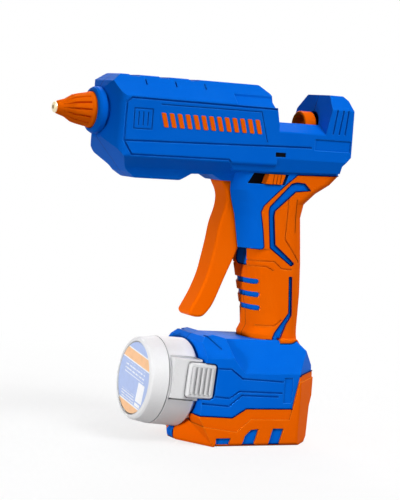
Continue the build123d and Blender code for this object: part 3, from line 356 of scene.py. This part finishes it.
# ---------------------------------------------------------------- finishes
@dataclass(frozen=True)
class Moulded:
    """Injection-moulded plastic with a fine spark-eroded grain, softened edges that are scuffed and carry
    a painted highlight, and painted shade in grooves and corners.

    Args:
        name: Name of the finish.
        base: Main colour.
        deep_and_shade: Colour of grain specks and the seam, also painted shade in grooves and corners.
        worn_and_lit: Colour of the faint tone patches and of scuffed edges, also a painted highlight
            along edges.
        sheen: Colour of the surface's reflections.
        roughness: Mean roughness.
        grain: Size of the moulded grain in metres.
        relief: Height of the grain in metres.
        edge: Radius that the light sees on sharp edges, in metres.
        wear: Strength of the scuffing and painted highlight along edges.
        reach: Distance in metres within which walls add painted shade to a recess.
        gloss: Strength of the surface's reflections.
        index: Index of refraction.
        shade: How far painted shade darkens grooves and corners.
        seam: Width of the parting line between two halves in metres, or 0 for none.
    """

    name: str
    base: Colour
    deep_and_shade: Colour
    worn_and_lit: Colour
    sheen: Colour
    roughness: float = 0.45
    grain: float = 0.5 * MM
    relief: float = 0.02 * MM
    edge: float = 0.4 * MM
    wear: float = 0.5
    reach: float = 2.2 * MM
    gloss: float = 0.03
    index: float = 1.3
    shade: float = 0.6
    seam: float = 0.0

    upper: ClassVar[Range] = (0.35, 0.7)  # Values that a noise mostly keeps to, less the lowest.
    bend: ClassVar[Range] = (0.02, 0.22)  # Turn of the softened normal, from flat to a full edge.
    air: ClassVar[Range] = (0.42, 0.94)  # Open air round a point, from full painted shade at the bottom of a groove to none outside.
    cloud: ClassVar[float] = 18 * MM  # Size of the faint patches of tone.
    fade: ClassVar[float] = 0.06  # Strength of these patches.
    speckle: ClassVar[float] = 0.05  # Strength of the grain's dark specks.
    patch: ClassVar[float] = 6 * MM  # Size of the patches that hands have scuffed, which also set the painted edge highlight.
    rest: ClassVar[float] = 0.45  # Scuffing and painted edge highlight that is left between the patches.
    shelter: ClassVar[float] = 0.4  # Share of the scuffing and painted edge highlight that painted shade in a groove takes away.
    uneven: ClassVar[Range] = (-0.05, 0.06)  # How far the grain's roughness strays from the mean.
    polish: ClassVar[float] = 0.12  # Roughness that rubbing takes away.
    coarse: ClassVar[float] = 3.1  # Size of the coarse grain against the fine one.
    fine_part: ClassVar[float] = 0.7  # Part of the fine grain in the relief.
    strength: ClassVar[float] = 0.6  # Strength of the relief.

    def edge_wear_and_highlight(self, g: Graph, point: Wire, soft: Wire, painted_shade: Wire) -> Wire:
        """Mask of the edges that hands and benches have scuffed, also used as a painted highlight along
        edges.

        Args:
            g: Graph of the finish.
            point: Point of the surface.
            soft: Normal with softened edges.
            painted_shade: Mask of painted shade in grooves and corners.

        Returns:
            The mask, 0 away from edges.
        """
        flat = g.node("ShaderNodeNewGeometry", output="Normal")
        facing = g.node("ShaderNodeVectorMath", {"operation": "DOT_PRODUCT"}, {0: soft, 1: flat}, "Value")
        edge = (1 - facing).ramp(*self.bend)
        patches = g.noise(point, self.patch, 4.0, 0.6).ramp(*self.upper, self.rest, 1.0)
        return edge * (1 - painted_shade * self.shelter) * patches * self.wear

    def tone(self, g: Graph, point: Wire, specks: Wire, painted_shade: Wire, edge_wear_and_highlight: Wire) -> Wire:
        """Colour over the surface, with painted shade in grooves and corners and a painted highlight
        along edges.

        Args:
            g: Graph of the finish.
            point: Point of the surface.
            specks: Noise of the moulded grain.
            painted_shade: Mask of painted shade in grooves and corners.
            edge_wear_and_highlight: Mask of the scuffed edges, which also carry a painted highlight.

        Returns:
            The colour.
        """
        clouds = g.noise(point, self.cloud, 3.0)
        colour = g.mix(clouds.ramp(*USUAL, 0.0, self.fade), self.base, self.worn_and_lit)
        colour = g.mix(specks.ramp(*self.upper, 0.0, self.speckle), colour, self.deep_and_shade)
        # Painted shade: grooves and corners darken towards the dark colour.
        colour = g.mix(painted_shade * self.shade, colour, self.deep_and_shade)
        # Scuffing and painted highlight: edges lighten towards the pale colour.
        colour = g.mix(edge_wear_and_highlight, colour, self.worn_and_lit)
        if self.seam:
            _, across, _ = g.axes(point)
            colour = g.mix(across.size().below(self.seam / 2), colour, self.deep_and_shade)
        return colour

    def material(self) -> bpy.types.Material:
        """Builds the material.

        Returns:
            The material.
        """
        g, made = Graph.material(self.name)
        point = g.place()
        soft = g.node("ShaderNodeBevel", {"samples": 6}, {"Radius": self.edge})
        # Ambient occlusion, turned below into the mask of painted shade.
        air = g.node("ShaderNodeAmbientOcclusion", {"samples": 8}, {"Distance": self.reach}, "AO")
        painted_shade = air.ramp(*self.air, 1.0, 0.0)
        specks = g.noise(point, self.grain)
        edge_wear_and_highlight = self.edge_wear_and_highlight(g, point, soft, painted_shade)
        low, high = (self.roughness + part for part in self.uneven)
        coarse = g.noise(point, self.grain * self.coarse)
        height = specks * self.fine_part + coarse * (1 - self.fine_part)
        inputs = {
            "Base Color": self.tone(g, point, specks, painted_shade, edge_wear_and_highlight),
            "Roughness": specks.ramp(*USUAL, low, high) - edge_wear_and_highlight * self.polish,
            "Normal": g.bump(height, self.relief, self.strength, soft),
            "IOR": self.index,
            "Specular IOR Level": self.gloss,
            "Specular Tint": self.sheen,
        }
        g.finish(inputs)
        return made


@dataclass(frozen=True)
class Turned:
    """Turned metal with fine rings and small dull, tinted spots.

    Args:
        name: Name of the finish.
        base: Main colour.
        tint: Colour of the dull spots.
        roughness: Mean roughness.
        ring: Pitch of the turned rings in metres.
    """

    name: str
    base: Colour
    tint: Colour
    roughness: float = 0.3
    ring: float = 0.35 * MM

    relief: ClassVar[float] = 0.01 * MM  # Height of the rings.
    strength: ClassVar[float] = 0.5  # Strength of the relief.
    edge: ClassVar[float] = 0.2 * MM  # Radius that the light sees on sharp edges.
    spot: ClassVar[float] = 3 * MM  # Size of the dull spots.
    stained: ClassVar[Range] = (0.45, 0.75)  # Values of the noise, from clean metal to a full spot.
    stain: ClassVar[float] = 0.5  # Share of the tint in a spot.
    dull: ClassVar[float] = 0.25  # Roughness that a spot adds.

    def material(self) -> bpy.types.Material:
        """Builds the material.

        Returns:
            The material.
        """
        g, made = Graph.material(self.name)
        point = g.place()
        along, _, _ = g.axes(point)
        rings = (along.repeat(self.ring) / self.ring - 0.5).size() * 2.0
        spots = g.noise(point, self.spot, 3.0, 0.6).ramp(*self.stained)
        soft = g.node("ShaderNodeBevel", {"samples": 6}, {"Radius": self.edge})
        inputs = {
            "Base Color": g.mix(spots * self.stain, self.base, self.tint),
            "Metallic": 1.0,
            "Roughness": spots.ramp(0.0, 1.0, self.roughness, self.roughness + self.dull),
            "Normal": g.bump(rings, self.relief, self.strength, soft),
        }
        g.finish(inputs)
        return made


def inside(u: Wire, v: Wire, box: Box) -> Wire:
    """Mask of an upright rectangle.

    Args:
        u: Place across.
        v: Place up.
        box: Its left, right, lower and upper edge.

    Returns:
        1 inside the rectangle, else 0.
    """
    left, right, low, high = box
    return u.above(left) * u.below(right) * v.above(low) * v.below(high)


@dataclass(frozen=True)
class Ruled:
    """Block of ruled lines, in shares of the label's radius.

    Args:
        pitch: Distance from line to line.
        thick: Thickness of a line.
        box: Left, right, lower and upper edge of the block.
    """

    pitch: float
    thick: float
    box: Box

    def mask(self, u: Wire, v: Wire) -> Wire:
        """1 on the lines, else 0."""
        return v.repeat(self.pitch).below(self.thick) * inside(u, v, self.box)


@dataclass(frozen=True)
class Printed:
    """Round foil label with plain printed bands, a blank field and ruled lines.

    Places on the label are shares of its radius, with v up and u across.

    Args:
        name: Name of the finish.
        centre: Middle of the label.
        radius: Its radius in metres.
        turn: How far the print is turned, in degrees.
        band: Lower and upper edge of the wide band.
        foot: Upper edge of the band at the bottom.
        rims: Height and half width of the pale lines along the bands.
        field: Left, right, lower and upper edge of the blank field.
        tag: The same for the small tag under it.
        lines: Long ruled lines under the wide band.
        notes: Short ruled lines beside the blank field.
    """

    name: str
    centre: Vector
    radius: float
    turn: float = 8.5
    band: Range = (0.42, 0.72)
    foot: float = -0.74
    rims: tuple[Range, ...] = ((0.73, 0.018), (0.41, 0.018), (-0.73, 0.02))
    field: Box = (-0.78, -0.36, -0.56, -0.02)
    tag: Box = (-0.70, -0.36, -0.69, -0.60)
    lines: Ruled = Ruled(0.11, 0.045, (-0.66, 0.66, 0.02, 0.34))
    notes: Ruled = Ruled(0.075, 0.03, (-0.28, 0.62, -0.70, -0.44))

    ink: ClassVar[float] = 0.75  # Strength of the ruled lines.
    gap: ClassVar[float] = 0.40  # Value of the noise under which a line is broken.
    pale: ClassVar[float] = 0.9  # Strength of the pale lines along the bands.
    fibre: ClassVar[float] = 1.2 * MM  # Size of the foil's fine relief and of the gaps.
    relief: ClassVar[float] = 0.02 * MM  # Height of this relief.
    strength: ClassVar[float] = 0.4  # Strength of this relief.
    dust: ClassVar[float] = 4 * MM  # Size of the dusty patches.
    dusty: ClassVar[Range] = (0.45, 0.8)  # Values of the noise, from clean to a full patch.
    film: ClassVar[float] = 0.12  # Share of grey in a full patch.
    rough: ClassVar[Range] = (0.38, 0.55)  # Roughness from the cleanest foil to the dustiest.
    gloss: ClassVar[float] = 0.3  # Strength of the surface's reflections.

    def axes(self, g: Graph, point: Wire) -> tuple[Wire, Wire]:
        """Place on the turned print.

        Args:
            g: Graph of the finish.
            point: Point of the surface.

        Returns:
            Place across and place up, as shares of the radius.
        """
        _, across, up = g.axes(point)
        cos, sin = math.cos(math.radians(self.turn)), math.sin(math.radians(self.turn))
        a = (across - self.centre.y) / self.radius
        b = (up - self.centre.z) / self.radius
        return a * cos + b * sin, b * cos - a * sin

    def material(self) -> bpy.types.Material:
        """Builds the material.

        Returns:
            The material.
        """
        g, made = Graph.material(self.name)
        point = g.place()
        u, v = self.axes(g, point)
        low, high = self.band
        bands = (v.above(low) * v.below(high)).larger(v.below(self.foot))
        whole = g.noise(point, self.fibre, 1.0).above(self.gap)
        rules = self.lines.mask(u, v).larger(self.notes.mask(u, v)) * whole * self.ink
        strips = [(v - height).size().below(half) for height, half in self.rims]
        rims = functools.reduce(Wire.larger, strips) * self.pale
        blank = inside(u, v, self.field).larger(inside(u, v, self.tag))
        white = Paint.LABEL_WHITE.value
        colour = g.mix(bands, Paint.LABEL_BLUE.value, Paint.LABEL_ORANGE.value)
        colour = g.mix(rules.larger(rims), colour, white)
        colour = g.mix(blank, colour, white)
        dirt = g.noise(point, self.dust, 4.0, 0.6)
        colour = g.mix(dirt.ramp(*self.dusty, 0.0, self.film), colour, Paint.GREY_DEEP.value)
        inputs = {
            "Base Color": colour,
            "Roughness": dirt.ramp(*USUAL, *self.rough),
            "Normal": g.bump(g.noise(point, self.fibre), self.relief, self.strength),
            "Specular IOR Level": self.gloss,
        }
        g.finish(inputs)
        return made


@dataclass(frozen=True)
class Ground:
    """White studio floor that keeps a soft shadow near the tool and throws little light back up.

    Args:
        name: Name of the finish.
        near: Distance in metres within which the shadow is kept in full.
        far: Distance at which the floor is plain white.
        shadow: Share of the shadow that shows.
        pale: Range of the cloth's tone as it is seen.
        dull: Tone with which it throws light back.
        cloud: Size of the cloth's cloudy patches in metres.
    """

    name: str = "studio_floor"
    near: float = 0.14
    far: float = 0.42
    shadow: float = 0.24
    pale: Range = (0.93, 0.97)
    dull: float = 0.3
    cloud: float = 0.05

    def material(self) -> bpy.types.Material:
        """Builds the material.

        Returns:
            The material.
        """
        g, made = Graph.material(self.name)
        point = g.place()
        x, y, _ = g.axes(point)
        reach = (x * x + y * y).root()
        tone = g.noise(point, self.cloud).ramp(*USUAL, *self.pale)
        white = g.node("ShaderNodeCombineColor", None, {0: tone, 1: tone, 2: tone})
        seen = g.seen()
        bright = g.node("ShaderNodeBsdfDiffuse", None, {"Color": white})
        dim = g.node("ShaderNodeBsdfDiffuse", None, {"Color": (self.dull, self.dull, self.dull)})
        cloth = g.node("ShaderNodeMixShader", None, {0: seen, 1: dim, 2: bright})
        glow = g.node("ShaderNodeEmission", None, {"Color": (1.0, 1.0, 1.0), "Strength": 1.0})
        share = seen * reach.ramp(self.near, self.far, 1.0 - self.shadow, 1.0)
        shader = g.node("ShaderNodeMixShader", None, {0: share, 1: cloth, 2: glow})
        g.node("ShaderNodeOutputMaterial", None, {"Surface": shader}, None)
        return made


class Finishes:
    """All finishes of the tool, each built once."""

    def __init__(self) -> None:
        """Builds every finish."""
        cool, warm, plain = Paint.SHEEN_BLUE.value, Paint.SHEEN_ORANGE.value, Paint.SHEEN_WHITE.value
        # Each set: main colour; dark of specks and seams, also painted shade in grooves and corners; pale
        # of tone patches and scuffed edges, also a painted highlight along edges; reflection tint.
        blue = Paint.BLUE.value, Paint.BLUE_DEEP.value, Paint.BLUE_WORN.value, cool
        orange = Paint.ORANGE.value, Paint.ORANGE_DEEP.value, Paint.ORANGE_WORN.value, warm
        grey = Paint.GREY.value, Paint.GREY_DEEP.value, Paint.GREY_WORN.value, plain
        black = Paint.BLACK.value, Paint.SMOKE.value, Paint.STEEL.value, plain
        gap_shade = Paint.NAVY_GAP_SHADE.value, Paint.SMOKE.value, Paint.BLUE_DEEP.value, cool
        smoke = Paint.SMOKE.value, Paint.SMOKE.value, Paint.BLACK.value, plain
        joint = {"seam": 0.4 * MM}
        rubber = {"roughness": 0.55, "edge": 0.9 * MM, "wear": 0.9, **joint}
        small = {"edge": 0.4 * MM, "reach": 1.2 * MM}
        make = self.moulded
        self.housing = make("housing_nylon", blue, edge=0.6 * MM, wear=1.0, shade=0.35, **joint)
        self.collar = make("collar_nylon", blue, roughness=0.38, relief=0.01 * MM)
        self.grip = make("grip_rubber", orange, grain=0.4 * MM, shade=0.2, **rubber)
        self.bumper = make("bumper_rubber", orange, grain=0.6 * MM, shade=0.5, **rubber)
        self.lever = make("lever_nylon", orange, roughness=0.4, edge=0.9 * MM, wear=0.9)
        self.sleeve = make("sleeve_silicone", orange, roughness=0.5, shade=0.15, **small)
        self.gloss = make("knob_plastic", orange, roughness=0.35, **small)
        self.inlay = make("bar_plastic", orange, roughness=0.4, edge=0.2 * MM, reach=0.6 * MM, wear=0.2)
        # Finish of the beads that paint the shade of the gap where soft skins meet the housing.
        self.bead = make("joint_line", gap_shade, roughness=0.6, wear=0.1, reach=0.6 * MM)
        self.pack = make("pack_plastic", grey, roughness=0.5, edge=0.5 * MM, wear=0.3, gloss=0.3)
        self.black = make("inner_black", black, roughness=0.5, wear=0.1, gloss=0.1)
        self.smoke = make("smoked_window", smoke, roughness=0.3, gloss=0.12)
        self.brass = Turned("turned_brass", Paint.BRASS.value, Paint.GREY.value).material()
        self.steel = Turned("ground_steel", Paint.STEEL.value, Paint.BLACK.value).material()

    @staticmethod
    def moulded(name: str, colours: tuple[Colour, ...], **values: float) -> bpy.types.Material:
        """Material of one moulded finish.

        Args:
            name: Name of the finish.
            colours: Its main, deep, worn and reflected colour.
            **values: Its other values, by field.

        Returns:
            The material.
        """
        return Moulded(name, *colours, **values).material()


# ---------------------------------------------------------------- tool
@dataclass
class Assembly:
    """Pieces of the tool that belong together.

    Args:
        nodes: The loaded CAD objects by name.
        finishes: Finishes of the tool.
    """

    nodes: Mapping[str, bpy.types.Object]
    finishes: Finishes

    def dress(self, finish: bpy.types.Material, *names: str) -> None:
        """Gives CAD nodes a finish.

        Args:
            finish: The finish.
            *names: Names of the nodes.
        """
        for name in names:
            slots = self.nodes[name].data.materials
            slots.clear()
            slots.append(finish)
            LOG.info("dressed %s", name)

    def add(
        self, name: str, data: bpy.types.ID, finish: bpy.types.Material, slot: Slot, body: Body
    ) -> bpy.types.Object:
        """Adds a piece that rides on a body.

        Args:
            name: Name of the piece.
            data: Its mesh or curve.
            finish: Its finish.
            slot: Material slot of the record; not used.
            body: Body that it moves with.

        Returns:
            The piece.
        """
        piece = bpy.data.objects.new(name, data)
        bpy.context.scene.collection.objects.link(piece)
        data.materials.clear()
        data.materials.append(finish)
        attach(piece, body.value)
        LOG.info("added %s", name)
        return piece

    def build(self) -> None:
        """Builds and dresses the pieces."""
        raise NotImplementedError


@dataclass
class Housing(Assembly):
    """Blue housing halves with a row of slanted orange bars let into each flank.

    Args:
        bars: Number of bars on a flank.
        pitch: Distance from bar to bar in metres.
        width: Width of a bar.
        height: Height of a bar.
        lean: How far a bar's top lies before its foot.
        proud: How far a bar stands out of the flank.
        sunk: How far it goes in.
        middle: Middle of the row along X and up.
        flank: Distance of the flank from the seam.
        corner: Radius of a bar's corners.
        rim: Radius of its outer rim.
    """

    bars: int = 13
    pitch: float = 4.7 * MM
    width: float = 2.7 * MM
    height: float = 7.6 * MM
    lean: float = 2.2 * MM
    proud: float = 0.3 * MM
    sunk: float = 0.3 * MM
    middle: tuple[float, float] = (-2.0 * MM, 173.9 * MM)
    flank: float = 20.0 * MM
    corner: float = 0.6 * MM
    rim: float = 0.18 * MM

    def bar(self, sheet: bmesh.types.BMesh, x: float, inner: float, outer: float) -> None:
        """Adds one sharp-edged bar to a mesh.

        Args:
            sheet: The mesh.
            x: Place of the bar's middle.
            inner: Place of its back across the tool.
            outer: Place of its front across the tool.
        """
        z = self.middle[1]
        outline = [
            (x + along * self.width / 2 - up * self.lean / 2, z + up * self.height / 2)
            for along, up in ((-1, -1), (1, -1), (1, 1), (-1, 1))
        ]
        back = [sheet.verts.new((px, inner, pz)) for px, pz in outline]
        front = [sheet.verts.new((px, outer, pz)) for px, pz in outline]
        sheet.faces.new(back)
        sheet.faces.new(reversed(front))
        for i, j in ((0, 1), (1, 2), (2, 3), (3, 0)):
            sheet.faces.new((back[j], back[i], front[i], front[j]))

    def bar_row(self, side: int) -> bpy.types.Mesh:
        """Mesh of the bars on one flank.

        Args:
            side: -1 for the left flank, 1 for the right one.

        Returns:
            The mesh.
        """
        sheet = bmesh.new()
        inner = side * (self.flank - self.sunk)
        outer = side * (self.flank + self.proud)
        for i in range(self.bars):
            self.bar(sheet, self.middle[0] + (i - (self.bars - 1) / 2) * self.pitch, inner, outer)
        corners = [e for e in sheet.edges if abs(e.verts[0].co.y - e.verts[1].co.y) > self.proud]
        bmesh.ops.bevel(sheet, geom=corners, offset=self.corner, segments=3, affect="EDGES", profile=0.5)
        rims = [e for e in sheet.edges if all(abs(v.co.y - outer) < TOUCH for v in e.verts)]
        bmesh.ops.bevel(sheet, geom=rims, offset=self.rim, segments=2, affect="EDGES", profile=0.5)
        bmesh.ops.recalc_face_normals(sheet, faces=sheet.faces)
        mesh = bpy.data.meshes.new("flank_bars")
        sheet.to_mesh(mesh)
        sheet.free()
        return mesh

    def build(self) -> None:
        """Dresses the halves and adds the bars."""
        self.dress(self.finishes.housing, "left_housing", "right_housing")
        for side, name in ((-1, "left_flank_bars"), (1, "right_flank_bars")):
            self.add(name, self.bar_row(side), self.finishes.inlay, Slot.GRIP, Body.FRAME)


def follow(
    links: Mapping[Spot, Sequence[Spot]], used: set[frozenset[Spot]], start: Spot, step: Spot
) -> list[Spot]:
    """Chain of joined points from one edge on, up to its end or a fork.

    Args:
        links: Points that each point is joined to.
        used: Edges that chains have taken; those of this one are added.
        start: First point of the edge.
        step: Its second point.

    Returns:
        The points of the chain.
    """
    chain = [start]
    here = step
    while here is not None:
        used.add(frozenset((chain[-1], here)))
        chain.append(here)
        ahead = [point for point in links[here] if frozenset((here, point)) not in used]
        here = ahead[0] if ahead and len(links[here]) == 2 else None
    return chain


def chains(edges: Iterable[tuple[Vector, Vector]]) -> list[list[Spot]]:
    """Unbroken chains that edges form, those with loose ends or forks first.

    Args:
        edges: Ends of each edge.

    Returns:
        The points of each chain, to the nearest micrometre.
    """
    links: dict[Spot, list[Spot]] = {}
    for ends in edges:
        first, second = (tuple(round(part, 6) for part in end) for end in ends)
        links.setdefault(first, []).append(second)
        links.setdefault(second, []).append(first)
    used: set[frozenset[Spot]] = set()
    found = []
    for start in sorted(links, key=lambda point: (len(links[point]) == 2, point)):
        for step in links[start]:
            if frozenset((start, step)) not in used:
                found.append(follow(links, used, start, step))
    return found


@dataclass
class SoftSkins(Assembly):
    """Soft grips and bumpers, with a thin dark bead of painted shade laid in the gap where each meets the
    housing.

    Args:
        thick: Radius of the painted-shade bead in metres.
        near: How close the housing has to lie for a joint.
        bend: Cosine of the least bend at a joint's edge.
        clear: How much open air an edge needs in front of it.
        least: Length of the shortest run that is laid.
        merge: Distance within which corners of a skin's faces are one.
        step: How far in from the edge, and out from the face, the open air is looked for.
    """

    thick: float = 0.3 * MM
    near: float = 0.8 * MM
    bend: float = 0.64
    clear: float = 12.0 * MM
    least: float = 4.0 * MM
    merge: float = 0.002 * MM
    step: float = 0.05 * MM

    def is_open(self, face: bmesh.types.BMFace, middle: Vector, trees: Iterable[BVHTree]) -> bool:
        """Whether a face has open air in front of it beside one of its edges.

        Args:
            face: The face.
            middle: Middle of the edge.
            trees: Surfaces that may stand in front.

        Returns:
            True where nothing stands in front.
        """
        inward = (face.calc_center_median() - middle).normalized()
        probe = middle + (inward + face.normal) * self.step
        return all(tree.ray_cast(probe, face.normal, self.clear)[0] is None for tree in trees)

    def is_joint(self, edge: bmesh.types.BMEdge, housing: BVHTree, own: BVHTree) -> bool:
        """Whether an edge of a skin lies open beside the housing.

        Args:
            edge: The edge.
            housing: Surfaces of the housing.
            own: Surfaces of the skin.

        Returns:
            True for an edge of the joint.
        """
        if len(edge.link_faces) != 2:
            return False
        first, second = edge.link_faces
        middle = (edge.verts[0].co + edge.verts[1].co) / 2
        if first.normal.dot(second.normal) > self.bend or middle.z < self.thick:
            return False
        if housing.find_nearest(middle, self.near)[0] is None:
            return False
        return any(self.is_open(face, middle, (housing, own)) for face in (first, second))

    def outer_edges(self, skin: bpy.types.Object, housing: BVHTree) -> list[tuple[Vector, Vector]]:
        """Edges of a skin that lie open beside the housing.

        Args:
            skin: The skin.
            housing: Surfaces of the housing.

        Returns:
            Ends of each edge.
        """
        sheet = bmesh.new()
        sheet.from_mesh(skin.data)
        bmesh.ops.remove_doubles(sheet, verts=sheet.verts, dist=self.merge)
        own = BVHTree.FromBMesh(sheet)
        joint = [edge for edge in sheet.edges if self.is_joint(edge, housing, own)]
        ends = [tuple(vertex.co.copy() for vertex in edge.verts) for edge in joint]
        sheet.free()
        return ends

    def joint_line(self, name: str, edges: Iterable[tuple[Vector, Vector]]) -> bpy.types.Curve:
        """Dark round bead of painted gap shade along a set of edges.

        Args:
            name: Name of the curve.
            edges: Ends of each edge.

        Returns:
            The curve, with one run for each chain of edges that is long enough.
        """
        curve = bpy.data.curves.new(name, "CURVE")
        curve.dimensions = "3D"
        curve.bevel_depth = self.thick
        curve.bevel_resolution = 1
        curve.use_fill_caps = True
        for chain in chains(edges):
            if sum(map(math.dist, chain, chain[1:])) < self.least:
                continue
            run = curve.splines.new("POLY")
            run.points.add(len(chain) - 1)
            for point, place in zip(run.points, chain):
                point.co = (*place, 1.0)
        return curve

    def build(self) -> None:
        """Dresses the skins and lays the dark beads of painted gap shade along their joints."""
        sheet = bmesh.new()
        for half in ("left_housing", "right_housing"):
            sheet.from_mesh(self.nodes[half].data)
        tree = BVHTree.FromBMesh(sheet)
        sheet.free()
        for finish, names in (
            (self.finishes.grip, ("left_grip", "right_grip")),
            (self.finishes.bumper, ("left_bumper", "right_bumper")),
        ):
            self.dress(finish, *names)
            for name in names:
                line = self.joint_line(f"{name}_line", self.outer_edges(self.nodes[name], tree))
                self.add(f"{name}_line", line, self.finishes.bead, Slot.HOUSING, Body.FRAME)


@dataclass
class Nozzle(Assembly):
    """Ring, fluted sleeve and metal tip at the front."""

    def build(self) -> None:
        """Dresses the pieces."""
        self.dress(self.finishes.collar, "nose_collar")
        self.dress(self.finishes.sleeve, "nozzle_sleeve")
        self.dress(self.finishes.brass, "nozzle_tip")


@dataclass
class HeatedEnd(Assembly):
    """Melt chamber with its heater, supports and stick guide."""

    def build(self) -> None:
        """Dresses the pieces."""
        self.dress(self.finishes.steel, "melt_chamber")
        inner = "heating_element", "front_chamber_support", "rear_chamber_support", "inlet_sleeve"
        self.dress(self.finishes.black, *inner, "stick_guide", "stick_inlet_bush")


@dataclass
class Feed(Assembly):
    """Trigger, feed slide and the collar that grips the stick.

    Args:
        travel: How far the feed slide comes forward, in metres; not used.
    """

    travel: float = 8.0 * MM

    def return_spring(self) -> None:
        """Adds a copy of the slide spring's coil as a piece of its own and hides the CAD coil."""
        wire = self.nodes["slide_spring"].data.copy()
        coil = self.add("return_spring", wire, self.finishes.steel, Slot.SPRING, Body.FRAME)
        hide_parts("slide_spring")
        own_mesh(coil)

    def build(self) -> None:
        """Dresses the pieces and adds the spring."""
        self.dress(self.finishes.lever, "trigger")
        self.dress(self.finishes.gloss, "feed_collar")
        self.dress(self.finishes.black, "feed_slide")
        self.dress(self.finishes.steel, "trigger_pin", "drive_pin", "slide_spring", "grip_jaw")
        self.return_spring()


@dataclass
class Controls(Assembly):
    """Slide switch, indicator window and the circuit board behind them."""

    def build(self) -> None:
        """Dresses the pieces."""
        self.dress(self.finishes.gloss, "power_switch")
        self.dress(self.finishes.smoke, "indicator_lens")
        self.dress(self.finishes.black, "switch_body", "circuit_board", "board_components")


@dataclass
class BatteryPack(Assembly):
    """Slide-in pack with its label, latches and contacts."""

    def build(self) -> None:
        """Dresses the pieces."""
        low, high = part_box("battery_label")
        label = Printed("label_print", (low + high) / 2, (high.y - low.y) / 2).material()
        self.dress(self.finishes.pack, "battery_case", "battery_cap", "left_latch", "right_latch")
        self.dress(label, "battery_label")
        self.dress(self.finishes.black, "battery_cells", "terminal_block")
        self.dress(self.finishes.brass, "pack_terminals", "tool_blades")
        self.dress(self.finishes.steel, "left_latch_spring", "right_latch_spring")


@dataclass
class Fasteners(Assembly):
    """Screws that hold the halves together."""

    def build(self) -> None:
        """Dresses the screws."""
        self.dress(self.finishes.steel, "housing_screws")


# ---------------------------------------------------------------- studio
@dataclass(frozen=True)
class Lamp:
    """Soft square lamp.

    Args:
        name: Name of the lamp.
        place: Where it hangs, in metres.
        size: Side of its square in metres.
        watts: Power.
        aim: Point that it faces.
        spread: Angle over which its light fans out, in degrees.
    """

    name: str
    place: Spot
    size: float
    watts: float
    aim: Spot = VIEW_MIDDLE
    spread: float = 180.0

    def hang(self) -> None:
        """Hangs the lamp."""
        data = bpy.data.lights.new(self.name, "AREA")
        data.shape = "SQUARE"
        data.size = self.size
        data.energy = self.watts
        data.spread = math.radians(self.spread)
        lamp = bpy.data.objects.new(self.name, data)
        lamp.location = self.place
        lamp.rotation_mode = "QUATERNION"
        lamp.rotation_quaternion = (Vector(self.aim) - Vector(self.place)).to_track_quat("-Z", "Y")
        bpy.context.scene.collection.objects.link(lamp)


@dataclass
class Studio:
    """Camera, lamps, floor and surround.

    Args:
        target: Point in the middle of the view, in metres.
        azimuth: Angle of the camera round the tool, in degrees.
        height: Angle of the camera above the horizon, in degrees.
        roll: Turn of the camera about its view line, in degrees.
        reach: Distance from camera to target in metres.
        lens: Focal length in millimetres.
        fill: Strength of the light from all round.
        lamps: The lamps.
        half_floor: Half the side of the floor in metres.
    """

    target: Spot = VIEW_MIDDLE
    azimuth: float = -27.0
    height: float = 4.0
    roll: float = 4.2
    reach: float = 0.99
    lens: float = 129.6
    fill: float = 0.24
    lamps: tuple[Lamp, ...] = (
        Lamp("key_lamp", (0.55, -1.05, 1.45), 0.7, 21.5),
        Lamp("top_lamp", (0.3, -0.2, 1.5), 1.0, 3.0),
        Lamp("low_lamp", (-1.1, -0.5, 0.08), 0.1, 0.09, (-0.06, 0.0, 0.05), 15.0),
        Lamp("rear_lamp", (0.6, 1.3, 0.9), 1.2, 12.0),
    )
    half_floor: float = 6.0

    def camera(self) -> None:
        """Places the camera."""
        a, e, r = (math.radians(x) for x in (-self.azimuth, self.height, self.roll))
        ahead = Vector((math.sin(a) * math.cos(e), math.cos(a) * math.cos(e), -math.sin(e)))
        right = ahead.cross(Vector((0.0, 0.0, 1.0))).normalized()
        up = right.cross(ahead)
        side = right * math.cos(r) + up * math.sin(r)
        top = up * math.cos(r) - right * math.sin(r)
        turn = Matrix((side, top, -ahead)).transposed().to_4x4()
        data = bpy.data.cameras.new("studio_camera")
        data.lens = self.lens
        data.sensor_width = 36.0
        data.clip_start = 0.05
        camera = bpy.data.objects.new("studio_camera", data)
        camera.matrix_world = Matrix.Translation(Vector(self.target) - ahead * self.reach) @ turn
        bpy.context.scene.collection.objects.link(camera)
        bpy.context.scene.camera = camera
        LOG.info("camera at %s", [round(x, 4) for x in camera.location])

    def floor(self) -> None:
        """Lays the floor."""
        mesh = bpy.data.meshes.new("floor")
        sheet = bmesh.new()
        bmesh.ops.create_grid(sheet, x_segments=8, y_segments=8, size=self.half_floor)
        sheet.to_mesh(mesh)
        sheet.free()
        floor = bpy.data.objects.new("floor", mesh)
        bpy.context.scene.collection.objects.link(floor)
        mesh.materials.append(Ground().material())

    def surround(self) -> None:
        """Fills the world with plain light and a white view."""
        world = bpy.data.worlds.new("surround")
        bpy.context.scene.world = world
        world.use_nodes = True
        g = Graph(world.node_tree)
        white = (1.0, 1.0, 1.0)
        plain = g.node("ShaderNodeBackground", None, {"Color": white, "Strength": self.fill})
        bright = g.node("ShaderNodeBackground", None, {"Color": white, "Strength": 1.0})
        view = g.node("ShaderNodeMixShader", None, {0: g.seen(), 1: plain, 2: bright})
        g.node("ShaderNodeOutputWorld", None, {"Surface": view}, None)

    def build(self) -> None:
        """Sets up the whole studio."""
        self.camera()
        for lamp in self.lamps:
            lamp.hang()
            LOG.info("hung %s", lamp.name)
        self.floor()
        self.surround()
        bpy.context.scene.view_settings.view_transform = "Standard"


def main() -> None:
    """Builds the tool's looks and the studio."""
    logging.basicConfig(level=logging.INFO, format="%(message)s")
    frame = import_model()
    finishes = Finishes()
    for assembly in (Housing, SoftSkins, Nozzle, HeatedEnd, Feed, Controls, BatteryPack, Fasteners):
        assembly(frame["nodes"], finishes).build()
    Studio().build()


if __name__ == "__main__":
    main()
